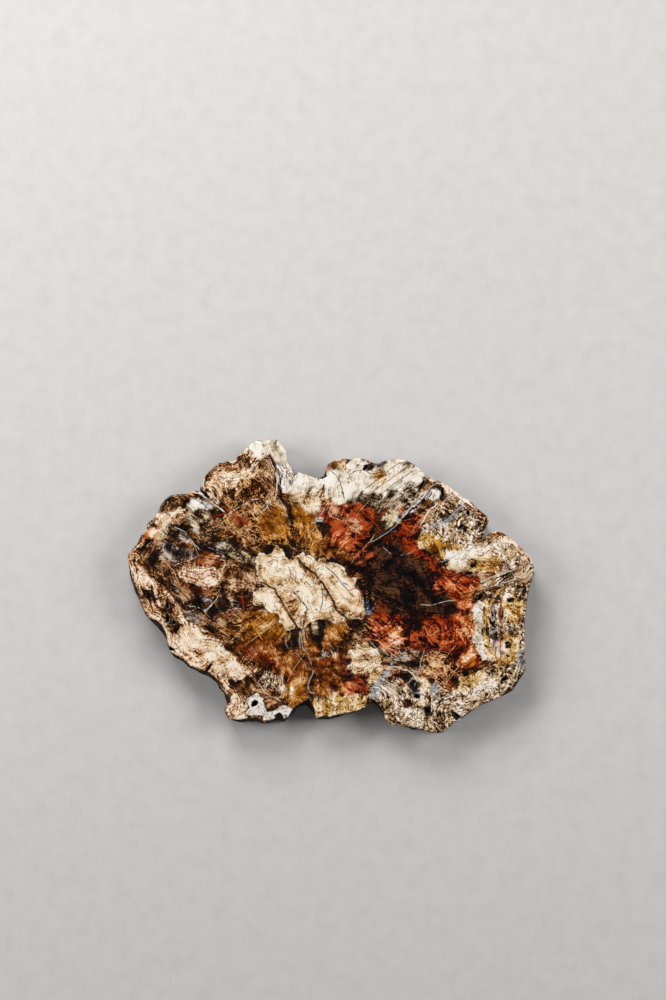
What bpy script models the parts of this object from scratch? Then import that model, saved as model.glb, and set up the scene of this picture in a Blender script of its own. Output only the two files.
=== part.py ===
"""A slice cut across a petrified log, lying flat on its sawn back with its polished face up.

The slice is one piece of stone. Its outline is the log's weathered rim, with lobes, notches and
clefts; its edge keeps the fluted outside of the log; small pits and open cracks break the face.
Units are metres, +Z is up, and the origin is under the middle of the slice, at the surface it lies on.
"""

import math

import bmesh
import bpy
from mathutils import Vector, noise
from mathutils.geometry import delaunay_2d_cdt

# Driving dimensions of the real slice.
FACE_LENGTH = 0.406
THICKNESS = 0.030
# The photograph looks down this steeply, which shortens the face's height in it.
VIEW_ELEVATION = math.radians(84.0)
FORESHORTENING = math.sin(VIEW_ELEVATION)

# Corners of the face's rim in photograph pixels, x right and y down, clockwise from the left tip.
RIM_PIXELS = (
    (128.0, 558.0), (129.0, 553.0), (134.0, 547.0), (139.5, 542.0), (142.0, 535.5), (145.5, 531.0),
    (148.0, 525.0), (152.5, 520.5), (157.0, 514.0), (161.0, 506.0), (165.0, 499.5), (171.0, 495.0),
    (177.0, 494.0), (183.0, 495.5), (189.0, 493.3), (195.0, 490.8), (200.0, 491.3), (203.0, 493.6),
    (200.7, 487.8), (202.5, 482.5), (205.0, 476.5), (209.0, 471.5), (214.0, 466.8), (219.0, 462.8),
    (223.0, 462.8), (227.0, 460.5), (231.0, 462.0), (235.0, 460.0), (238.0, 455.5), (243.5, 451.8),
    (246.0, 447.8), (251.0, 443.8), (256.0, 440.2), (262.0, 441.8), (268.0, 440.0), (277.0, 439.6),
    (281.5, 445.0), (286.0, 451.0), (286.7, 457.5), (288.5, 463.5), (292.0, 469.5), (295.0, 475.8),
    (298.5, 472.3), (306.0, 474.6), (314.0, 477.5), (322.0, 478.9), (327.0, 476.5), (325.5, 470.5),
    (328.0, 463.8), (334.0, 460.8), (344.0, 458.7), (350.0, 459.0), (358.0, 457.8), (365.0, 459.5),
    (370.0, 461.7), (374.5, 465.0), (379.0, 463.7), (384.0, 461.0), (391.0, 459.8), (399.0, 459.3),
    (406.0, 460.3), (413.0, 463.5), (419.5, 469.0), (425.0, 474.4), (431.0, 479.0), (438.0, 481.3),
    (445.0, 483.5), (451.0, 488.2), (457.5, 492.8), (463.0, 498.0), (469.5, 500.5), (475.0, 506.0),
    (481.0, 511.5), (486.5, 515.5), (489.0, 520.5), (486.5, 526.3), (483.5, 530.9), (485.8, 532.9),
    (477.5, 540.5), (484.5, 537.6), (490.0, 532.8), (497.0, 530.6), (504.0, 533.7), (510.0, 538.0),
    (516.0, 543.0), (521.0, 548.5), (527.0, 554.0), (531.0, 559.8), (534.0, 564.5), (533.3, 572.0),
    (531.8, 581.0), (529.0, 589.0), (527.3, 598.0), (525.5, 609.0), (525.0, 618.0), (524.4, 630.0),
    (524.2, 640.0), (524.8, 650.0), (525.1, 662.0), (524.4, 671.0), (519.5, 678.5), (516.0, 684.0),
    (512.0, 690.0), (505.0, 693.8), (498.0, 697.3), (491.0, 700.3), (480.0, 704.2), (474.5, 707.8),
    (468.0, 712.5), (461.8, 717.2), (456.0, 721.0), (450.0, 725.5), (442.0, 732.0), (432.5, 732.0),
    (424.5, 729.3), (413.0, 727.0), (402.0, 725.0), (391.0, 724.2), (386.0, 720.0), (383.3, 712.3),
    (380.5, 706.0), (374.2, 698.4), (369.8, 702.3), (364.5, 707.0), (357.0, 710.3), (347.0, 712.4),
    (337.0, 713.9), (329.5, 716.2), (326.0, 714.3), (316.3, 717.2), (314.5, 708.0), (309.3, 696.9),
    (303.5, 701.0), (296.5, 704.5), (291.8, 709.8), (288.0, 716.5), (284.0, 720.0), (281.5, 715.0),
    (278.0, 713.0), (275.0, 718.4), (265.0, 721.8), (257.0, 716.4), (245.0, 717.8), (235.0, 719.0),
    (228.3, 717.3), (225.0, 710.5), (226.2, 705.0), (231.5, 701.3), (230.0, 697.0), (223.5, 690.0),
    (220.6, 684.2), (217.0, 678.3), (209.3, 671.6), (199.0, 668.8), (191.5, 666.5), (186.0, 660.0),
    (177.5, 655.2), (171.0, 651.0), (168.5, 643.5), (166.2, 631.5), (161.8, 624.2), (156.5, 619.8),
    (150.0, 617.5), (145.3, 611.0), (141.0, 602.0), (139.2, 593.0), (134.8, 586.0), (132.8, 579.0),
    (131.0, 569.5), (128.6, 564.0),
)

# Open cracks and pits: from this pixel, to this pixel, width in metres, depth in metres.
PITS = (
    ((212.3, 662.8), (205.3, 672.5), 0.0026, 0.014),
    ((200.3, 489.3), (210.0, 498.2), 0.0020, 0.011),
    ((368.0, 465.0), (362.8, 470.2), 0.0030, 0.007),
    ((351.0, 457.5), (345.8, 464.6), 0.0016, 0.006),
    ((424.8, 479.5), (417.8, 491.6), 0.0024, 0.009),
    ((441.8, 488.0), (443.6, 497.6), 0.0026, 0.007),
    ((486.5, 528.2), (476.8, 533.0), 0.0020, 0.009),
    ((451.6, 710.2), (463.0, 719.0), 0.0024, 0.010),
    ((169.0, 647.2), (174.2, 649.8), 0.0034, 0.006),
    ((251.8, 705.2), (258.2, 700.8), 0.0046, 0.007),
    ((145.6, 540.6), (151.0, 541.8), 0.0034, 0.004),
    ((146.8, 594.0), (151.6, 599.0), 0.0028, 0.004),
    ((166.8, 602.4), (168.2, 608.6), 0.0032, 0.004),
    ((167.2, 615.6), (168.4, 621.6), 0.0038, 0.005),
    ((173.0, 620.8), (176.0, 623.2), 0.0028, 0.004),
    ((479.0, 595.4), (481.2, 597.6), 0.0060, 0.005),
    ((506.8, 600.6), (511.6, 600.4), 0.0028, 0.004),
    ((504.0, 642.8), (509.8, 641.8), 0.0026, 0.004),
    ((505.0, 655.2), (510.0, 656.0), 0.0020, 0.004),
    ((504.4, 667.8), (508.8, 665.2), 0.0026, 0.004),
    ((500.4, 679.6), (507.6, 677.2), 0.0036, 0.005),
    ((414.0, 694.6), (419.6, 696.6), 0.0046, 0.005),
    ((424.4, 707.4), (429.8, 712.8), 0.0040, 0.006),
    ((467.6, 510.8), (468.6, 515.2), 0.0026, 0.005),
    ((457.8, 528.6), (463.8, 525.2), 0.0024, 0.004),
)

# How the wall falls away from the face: the share of the depth at each level, top to bottom.
WALL_LEVELS = (0.0, 0.045, 0.16, 0.31, 0.48, 0.65, 0.82, 0.95, 1.0)
LONGEST_RIM_STEP = 0.0044
# The log's notches close below the face: its outline evened over this reach, by this share.
EVENING_REACH = 0.007
EVENING_SHARE = 0.72
# The grain leans, so the back sits this far towards the lower left of the face.
GRAIN_LEAN = Vector((-0.0014, -0.0010))
# The lower right of the wall is undercut, centred on this bearing from the middle.
UNDERCUT_DEPTH = 0.0034
UNDERCUT_BEARING = math.radians(-48.0)
UNDERCUT_HALF_SPREAD = math.radians(38.0)
# Weathered relief of the wall: depth of each kind of lump, its size round the rim and its height.
FLUTES = (0.0020, 0.0085, 0.055)
LEDGES = (0.0015, 0.020, 0.0080)
CHIP_DEPTH = 0.0005
CHIP_SIZE = 0.0030
# The back's arris is rubbed off by this much.
ARRIS = 0.0009
FILL_TOLERANCE = 1e-7

PIT_SIDES = 8
PIT_FLOOR_SHARE = 0.45
CUTTER_RISE = 0.002

STONE_COLOUR = (0.30, 0.17, 0.095, 1.0)
STONE_ROUGHNESS = 0.22


def clear_scene():
    """Removes every object of the startup scene."""
    for obj in list(bpy.data.objects):
        bpy.data.objects.remove(obj)


def metres_per_pixel():
    """The photograph's scale on the face, from the slice's real length."""
    across = [x for x, _ in RIM_PIXELS]
    return FACE_LENGTH / (max(across) - min(across))


def on_face(pixel):
    """The place on the face, in metres from the middle of its outline, of a photograph pixel."""
    xs = [x for x, _ in RIM_PIXELS]
    ys = [y for _, y in RIM_PIXELS]
    scale = metres_per_pixel()
    return Vector((
        (pixel[0] - (max(xs) + min(xs)) / 2) * scale,
        ((max(ys) + min(ys)) / 2 - pixel[1]) * scale / FORESHORTENING,
    ))


def relief(place, height, depth, across, along):
    """One kind of lump at a place on the wall: smooth noise, longer along the log's grain."""
    return depth * noise.noise(Vector((place.x / across, place.y / across, height / along)))


def rim_outline():
    """The face's rim, counter-clockwise from above, with steps short enough to chip."""
    corners = [on_face(p) for p in reversed(RIM_PIXELS)]
    points = []
    for here, there in zip(corners, corners[1:] + corners[:1]):
        edge = there - here
        steps = math.ceil(edge.length / LONGEST_RIM_STEP)
        outward = Vector((edge.y, -edge.x)).normalized()
        points.append(here)
        for step in range(1, steps):
            place = here + edge * (step / steps)
            points.append(place + outward * relief(place, 0.0, CHIP_DEPTH, CHIP_SIZE, 1.0))
    return points


def evened(points, reach):
    """The outline with each point at the mean of its neighbours within reach, nearer ones counting more."""
    count = len(points)
    result = []
    for i, here in enumerate(points):
        total, weight = here.copy(), 1.0
        for way in (1, -1):
            gone, last = 0.0, here
            for step in range(1, count // 4):
                near = points[(i + way * step) % count]
                gone += (near - last).length
                last = near
                share = 1.0 - gone / (3.0 * reach)
                if share <= 0.0:
                    break
                total += near * share
                weight += share
        result.append(total / weight)
    return result


def outward_normals(points):
    """The outward direction at each point of a counter-clockwise outline."""
    count = len(points)
    normals = []
    for i in range(count):
        along = points[(i + 1) % count] - points[i - 1]
        normals.append(Vector((along.y, -along.x)).normalized())
    return normals


def undercut(place):
    """How far the wall is cut in under the face at the log's foot, by its bearing from the middle."""
    turn = math.atan2(place.y, place.x) - UNDERCUT_BEARING
    share = 1.0 - abs(math.atan2(math.sin(turn), math.cos(turn))) / UNDERCUT_HALF_SPREAD
    return UNDERCUT_DEPTH * max(0.0, share) ** 0.5


def wall_ring(rim, even, normals, share):
    """One level of the wall, at this share of the way from the face to the back."""
    depth = share * THICKNESS
    blend = EVENING_SHARE * min(1.0, share * 2.6)
    fade = min(1.0, share * 7.0)
    ring = []
    for place, smooth, normal in zip(rim, even, normals):
        bark = relief(smooth, depth, *FLUTES) + relief(smooth, depth + 1.0, *LEDGES)
        out = bark * fade - undercut(smooth) * min(1.0, share * 3.0)
        if share == 1.0:
            out -= ARRIS
        at = place.lerp(smooth, blend) + normal * out + GRAIN_LEAN * share
        ring.append(Vector((at.x, at.y, THICKNESS - depth)))
    return ring


def fill(mesh, ring, facing_up):
    """Closes a level ring with triangles between its own points, facing up or down."""
    count = len(ring)
    places = [vertex.co.xy for vertex in ring]
    edges = [(i, (i + 1) % count) for i in range(count)]
    inside = 1
    triangles = delaunay_2d_cdt(places, edges, [list(range(count))], inside, FILL_TOLERANCE)[2]
    for corners in triangles:
        if not facing_up:
            corners = corners[::-1]
        mesh.faces.new([ring[corner] for corner in corners])


def build_slice(material):
    """The stone: rings of the wall from the face down, closed by the flat face and the flat back."""
    rim = rim_outline()
    even = evened(rim, EVENING_REACH)
    normals = outward_normals(even)
    mesh = bmesh.new()
    rings = [
        [mesh.verts.new(p) for p in wall_ring(rim, even, normals, share)] for share in WALL_LEVELS
    ]
    count = len(rim)
    for upper, lower in zip(rings, rings[1:]):
        for i in range(count):
            after = (i + 1) % count
            mesh.faces.new((upper[after], upper[i], lower[i], lower[after]))
    bmesh.ops.triangulate(mesh, faces=mesh.faces[:], quad_method="SHORT_EDGE")
    fill(mesh, rings[0], True)
    fill(mesh, rings[-1], False)
    data = bpy.data.meshes.new("petrified_wood_slice")
    mesh.to_mesh(data)
    mesh.free()
    data.materials.append(material)
    stone = bpy.data.objects.new("petrified_wood_slice", data)
    bpy.context.scene.collection.objects.link(stone)
    return stone


def pit_rings(start, end, width, depth):
    """The mouth and the narrower floor of a pit's cutter, as rings of points."""
    middle, half = (start + end) / 2, (end - start) / 2
    along = half.normalized()
    across = Vector((-along.y, along.x))
    rings = []
    for height, share in ((THICKNESS + CUTTER_RISE, 1.0), (THICKNESS - depth, PIT_FLOOR_SHARE)):
        ring = []
        for i in range(PIT_SIDES):
            turn = math.tau * (i + 0.5) / PIT_SIDES
            reach = half.length + width / 4
            spot = middle + share * (
                along * math.cos(turn) * reach + across * math.sin(turn) * width * 0.62
            )
            ring.append(Vector((spot.x, spot.y, height)))
        rings.append(ring)
    return rings


def build_pit_cutter():
    """One cutter for all the open cracks and pits, each a tapered slot."""
    mesh = bmesh.new()
    for start, end, width, depth in PITS:
        mouth, floor = (
            [mesh.verts.new(p) for p in ring]
            for ring in pit_rings(on_face(start), on_face(end), width, depth)
        )
        for i in range(PIT_SIDES):
            after = (i + 1) % PIT_SIDES
            mesh.faces.new((mouth[after], mouth[i], floor[i], floor[after]))
        mesh.faces.new(mouth)
        mesh.faces.new(reversed(floor))
    bmesh.ops.recalc_face_normals(mesh, faces=mesh.faces[:])
    data = bpy.data.meshes.new("pit_cutter")
    mesh.to_mesh(data)
    mesh.free()
    cutter = bpy.data.objects.new("pit_cutter", data)
    bpy.context.scene.collection.objects.link(cutter)
    cutter.hide_render = True
    cutter.display_type = "WIRE"
    return cutter


def centre_on_origin(objects, stone):
    """Moves the meshes together so that the stone's box stands centred over the origin."""
    xs = [v.co.x for v in stone.data.vertices]
    ys = [v.co.y for v in stone.data.vertices]
    middle = Vector(((max(xs) + min(xs)) / 2, (max(ys) + min(ys)) / 2, 0.0))
    for obj in objects:
        for vertex in obj.data.vertices:
            vertex.co -= middle


def stone_material():
    """Silicified wood: brown stone under a polish."""
    material = bpy.data.materials.new("petrified_wood")
    material.use_nodes = True
    shader = material.node_tree.nodes["Principled BSDF"]
    shader.inputs["Base Color"].default_value = STONE_COLOUR
    shader.inputs["Roughness"].default_value = STONE_ROUGHNESS
    shader.inputs["Metallic"].default_value = 0.0
    material.diffuse_color = STONE_COLOUR
    return material


def main():
    """Builds the slice and cuts its pits."""
    clear_scene()
    stone = build_slice(stone_material())
    cutter = build_pit_cutter()
    centre_on_origin((stone, cutter), stone)
    pits = stone.modifiers.new("pits", "BOOLEAN")
    pits.operation = "DIFFERENCE"
    pits.solver = "EXACT"
    pits.object = cutter


main()
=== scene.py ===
"""Looks of a slice cut across a petrified log: polished figured face, weathered rim, sawn back."""

import logging
import math
from dataclasses import dataclass
from enum import Enum

import bmesh
import bpy
import numpy as np
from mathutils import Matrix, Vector
from mathutils.bvhtree import BVHTree
from mathutils.geometry import delaunay_2d_cdt
from mathutils.kdtree import KDTree


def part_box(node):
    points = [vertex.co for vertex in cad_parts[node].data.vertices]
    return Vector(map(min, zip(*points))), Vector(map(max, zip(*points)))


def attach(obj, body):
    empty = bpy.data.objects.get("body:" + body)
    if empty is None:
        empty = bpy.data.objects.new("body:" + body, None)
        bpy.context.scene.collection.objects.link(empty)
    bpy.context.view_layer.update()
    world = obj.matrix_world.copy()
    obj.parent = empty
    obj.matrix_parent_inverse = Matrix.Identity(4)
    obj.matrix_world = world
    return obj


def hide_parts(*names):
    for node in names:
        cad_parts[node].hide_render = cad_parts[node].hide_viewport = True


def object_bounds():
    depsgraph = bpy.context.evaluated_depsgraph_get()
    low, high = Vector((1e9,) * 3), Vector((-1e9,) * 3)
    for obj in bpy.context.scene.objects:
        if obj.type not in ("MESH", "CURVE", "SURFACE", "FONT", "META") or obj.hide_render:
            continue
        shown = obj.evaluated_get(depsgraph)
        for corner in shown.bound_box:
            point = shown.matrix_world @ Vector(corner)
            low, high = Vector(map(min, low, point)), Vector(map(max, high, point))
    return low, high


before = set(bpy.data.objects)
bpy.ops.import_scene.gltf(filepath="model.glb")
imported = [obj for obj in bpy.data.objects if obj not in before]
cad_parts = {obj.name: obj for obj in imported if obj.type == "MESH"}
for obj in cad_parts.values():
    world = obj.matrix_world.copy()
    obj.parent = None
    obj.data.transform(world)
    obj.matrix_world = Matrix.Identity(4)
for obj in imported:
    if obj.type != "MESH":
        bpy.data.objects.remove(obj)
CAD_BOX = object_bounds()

NODE = "petrified_wood_slice"
BODY = "root"
MM = 0.001

# The face's box in the photograph, in its pixels: x of its left and right ends, y of its top and bottom.
PHOTO_SPAN_X = (128.0, 534.0)
PHOTO_SPAN_Y = (439.6, 732.0)
PHOTO_CENTRE = (333.0, 500.0)
PHOTO_HEIGHT = 1000
VIEW_ELEVATION = math.radians(84.0)

Places = np.ndarray
Fields = dict[str, np.ndarray]
Corners = list[tuple[float, float]]
Colour = tuple[float, float, float, float]


def path(text: str) -> Corners:
    """Reads photo pixels written as "x,y x,y".

    Args:
        text: The pixels, parted by spaces.

    Returns:
        The pixels as number pairs.
    """
    return [tuple(float(part) for part in pair.split(",")) for pair in text.split()]


def rounded(corners: Corners, steps: int = 4) -> Corners:
    """Rounds a line's corners by a curve through them.

    Args:
        corners: The points that the curve goes through.
        steps: How many straight stretches stand for the curve between two points.

    Returns:
        The curve's points.
    """
    ends = np.array([corners[0], *corners, corners[-1]])
    curve = []
    for before, start, end, after in zip(ends, ends[1:], ends[2:], ends[3:]):
        for t in np.arange(steps) / steps:
            bend = (2 * before - 5 * start + 4 * end - after) * t**2
            twist = (3 * start - before - 3 * end + after) * t**3
            curve.append(tuple(0.5 * (2 * start + (end - before) * t + bend + twist)))
    return [*curve, corners[-1]]


def hex_colour(code: str) -> Colour:
    """Turns a screen colour such as "c08040" into the linear colour that a node takes.

    Args:
        code: Six hexadecimal digits.

    Returns:
        Linear red, green and blue, and full alpha.
    """
    screen = [int(code[i : i + 2], 16) / 255 for i in (0, 2, 4)]
    linear = [c / 12.92 if c <= 0.04045 else ((c + 0.055) / 1.055) ** 2.4 for c in screen]
    return (*linear, 1.0)


@dataclass(frozen=True)
class Stone:
    """One kind of stone in the face: its screen colours from dark to light and how they are mixed.

    band_step is how wide its mineral bands are, in mm, and lift makes all of it lighter. Every other
    number says how much one pattern moves the tone from dark to light.
    """

    colours: str
    grit: float = 0.17
    lump: float = 0.6
    fans: float = 0.45
    rings: float = 0.35
    ray_lines: float = 0.28
    ring_lines: float = 0.2
    panes: float = 0.0
    bars: float = 0.0
    plates: float = 0.0
    net: float = 0.0
    cells: float = 0.0
    worms: float = 0.0
    specks: float = 0.0
    wisps: float = 0.35
    hairs: float = 0.6
    bands: float = 0.0
    band_step: float = 4.0
    lift: float = 0.0


class Kind(Enum):
    """The kinds of stone, each named for what it looks like, and the near-black painted shade of the face's
    pits.
    """

    UMBER = Stone("040100 1c0b04 4a200a 825024 d8b088", panes=0.15, bars=0.15, plates=0.1, lift=-0.08)
    HATCHED = Stone("140702 381a08 6c3816 a26830 ecca9c", ray_lines=0.45, panes=0.1, bars=0.05, plates=0.22,
        net=0.18, lift=-0.15)
    OLIVE = Stone("0e0904 322616 5c4a32 a08c6c e8d8bc", panes=0.15, bars=0.15)
    SOOT = Stone("020100 150904 3a1d0c 6e4624 caa47c", ray_lines=0.35, panes=0.05, bars=0.05, lift=-0.12)
    CINDER = Stone("010000 070302 160804 2e150a 5c3c26", lump=0.5, ray_lines=0.35, panes=0.12, bars=0.12,
        plates=0.18, net=0.12, lift=-0.1)
    AMBER = Stone("1c0c02 50260a 8a5018 b87a34 f0d09c", grit=0.05, lump=0.45, fans=0.3, rings=0.2,
        ray_lines=0.14, ring_lines=0.08, panes=0.1, bars=0.05)
    # Tan stone with painted shade: the darker tan beside the heart's cracks, laid along one side of each
    # crack.
    TAN = Stone("4a2812 9c6840 d4ac80 ecd2b0 fcf2e2", ray_lines=0.18, panes=0.05, lift=0.02)
    CREAM = Stone("5c3616 b88c5c e6d0a8 f6ecd8 fffdf6", lump=0.7, fans=0.1, rings=0.25, ray_lines=0.0,
        ring_lines=0.16, hairs=0.9, bands=0.12, band_step=6.5, lift=0.04)
    MILK = Stone("7c4c24 d6b084 f2e6cc faf4e8 fffefa", fans=0.15, rings=0.3, ray_lines=0.05,
        ring_lines=0.18, wisps=0.4, hairs=0.8, bands=0.1, band_step=5.0, lift=0.09)
    IVORY = Stone("4c3a28 a8967e e4dccc f8f6f0 ffffff", grit=0.08, rings=0.2, ray_lines=0.3,
        ring_lines=0.08, panes=0.1, hairs=0.4, lift=0.13)
    BONE = Stone("4a3018 a4804e d8bc90 f0e2c8 fffaf0", fans=0.3, panes=0.08, lift=0.04)
    RIND = Stone("1c0a04 84441e c8925e ecceaa fff8ec", grit=0.25, lump=0.5, rings=0.6, ray_lines=0.1,
        ring_lines=0.4, cells=0.25, worms=0.35, specks=0.6, lift=0.08)
    PALE_RIND = Stone("4e2a14 b88458 e4c8a4 f4e6d0 fffcf6", grit=0.2, lump=0.4, rings=0.4, ray_lines=0.15,
        cells=0.1, worms=0.22, specks=0.3, lift=0.1)
    SPECKLED = Stone("100602 5c3a1e a48058 d0b28a e8d6ba ffffff", grit=0.28, lump=0.4, rings=0.4,
        ray_lines=0.12, cells=0.4, worms=0.55, specks=0.3, lift=0.02)
    OXBLOOD = Stone("040100 1c0502 400c05 761c0a b4481c", lump=0.8, ray_lines=0.4, panes=0.15, bars=0.15,
        plates=0.2, net=0.15)
    LATTICE = Stone("0c0603 34241a 62503c 98866c e4d8c4", lump=0.45, ray_lines=0.45, panes=0.1, bars=0.1,
        plates=0.1, net=0.1)
    FLAME = Stone("240602 661408 9c3414 cc6434 f4b48c", fans=0.6, ray_lines=0.35, ring_lines=0.22,
        panes=0.2, bars=-0.2, hairs=0.8, lift=-0.08)
    SALMON = Stone("1c0804 521a0e 7e341e a85c3c e4b898", ray_lines=0.5, panes=0.15, bars=0.15, plates=0.3,
        net=0.2, hairs=0.8, lift=-0.16)
    PEACH = Stone("602410 a04c22 cc7840 e8a878 fff0dc", panes=0.1, bars=-0.1)
    GOLD = Stone("5a3010 ac7a38 d6ac62 eed8ac fffaf0", ray_lines=0.35, cells=0.2, worms=0.3)
    MAUVE = Stone("0c0806 30241e 66544a 988478 dccec4", fans=0.9, ray_lines=0.55, panes=0.05, lift=-0.05)
    BLUE_GREY = Stone("2c2c2e 6c6e70 9c9e9e c4c4c4 f0f0ee", grit=0.25, panes=0.05)
    RUSSET = Stone("180802 4c220c 7c3e18 aa6830 e4b888", rings=0.4, ray_lines=0.08, ring_lines=0.1,
        plates=0.25, net=0.1, lift=-0.06)
    TERRACOTTA = Stone("200a04 4c1c0c 78381a a05c38 dcb08c", lump=0.4, ring_lines=0.1, hairs=0.4,
        lift=-0.06)
    AGATE = Stone("401408 8c5434 ccac88 e8d8c0 fffcf6", lump=0.3, fans=0.1, wisps=0.2, hairs=0.3, bands=0.2,
        band_step=3.6, lift=0.06)
    # This kind is painted shade: near-black colour laid on the face at the mouths of its pits, slits and
    # holes.
    INK = Stone("020100 060302 160b06 40291a", lump=0.3, fans=0.2, panes=0.15, wisps=0.2)
    INDIGO = Stone("020204 0c0c16 262a3c 98a0b4", panes=0.15, bars=0.15)
    FAWN = Stone("120804 40240f 784a28 ac8058 e4ccb0", ray_lines=0.35, panes=0.1, lift=-0.06)
    LILAC = Stone("3c3634 948c8a d2cac8 f2eeec ffffff", lump=0.5, fans=0.8, ray_lines=0.6)
    RED_NET = Stone("080402 220a05 4e1408 882a12 c06440", lump=0.8, ray_lines=0.6, panes=0.12, bars=0.12,
        plates=0.5, net=0.35, hairs=0.9, lift=-0.16)
    NETTED = Stone("120401 34120a 6a3018 b86c38 f4d8b0", ray_lines=0.3, ring_lines=0.1, plates=0.3, net=0.3,
        lift=-0.16)
    STRIPED = Stone("0a0402 3c2010 8a6440 d8bc98 fffaf4", lump=0.4, fans=0.6, ray_lines=0.5, ring_lines=0.0)
    ORNATE = Stone("020100 a09084 f4f0ec ffffff", lump=0.3, fans=0.1, rings=0.2, ray_lines=0.0,
        ring_lines=0.0, worms=0.3, hairs=0.3, lift=0.24)


@dataclass(frozen=True)
class Layer:
    """Patches of one kind of stone that lie over the layers before them.

    patches holds their corners in photo pixels, with a stroke between one patch and the next. ragged is
    how far the patches' edges wander, comb how far they run out along the rays, and soft how wide they
    fade, each in mm or nearly. seam is how strong a dark line bounds them.
    """

    kind: Kind
    patches: str
    ragged: float = 1.3
    comb: float = 0.0
    soft: float = 0.6
    seam: float = 0.0

    def corners(self) -> list[Corners]:
        """Each patch's corners in photo pixels."""
        return [path(patch) for patch in self.patches.split("/")]


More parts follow.
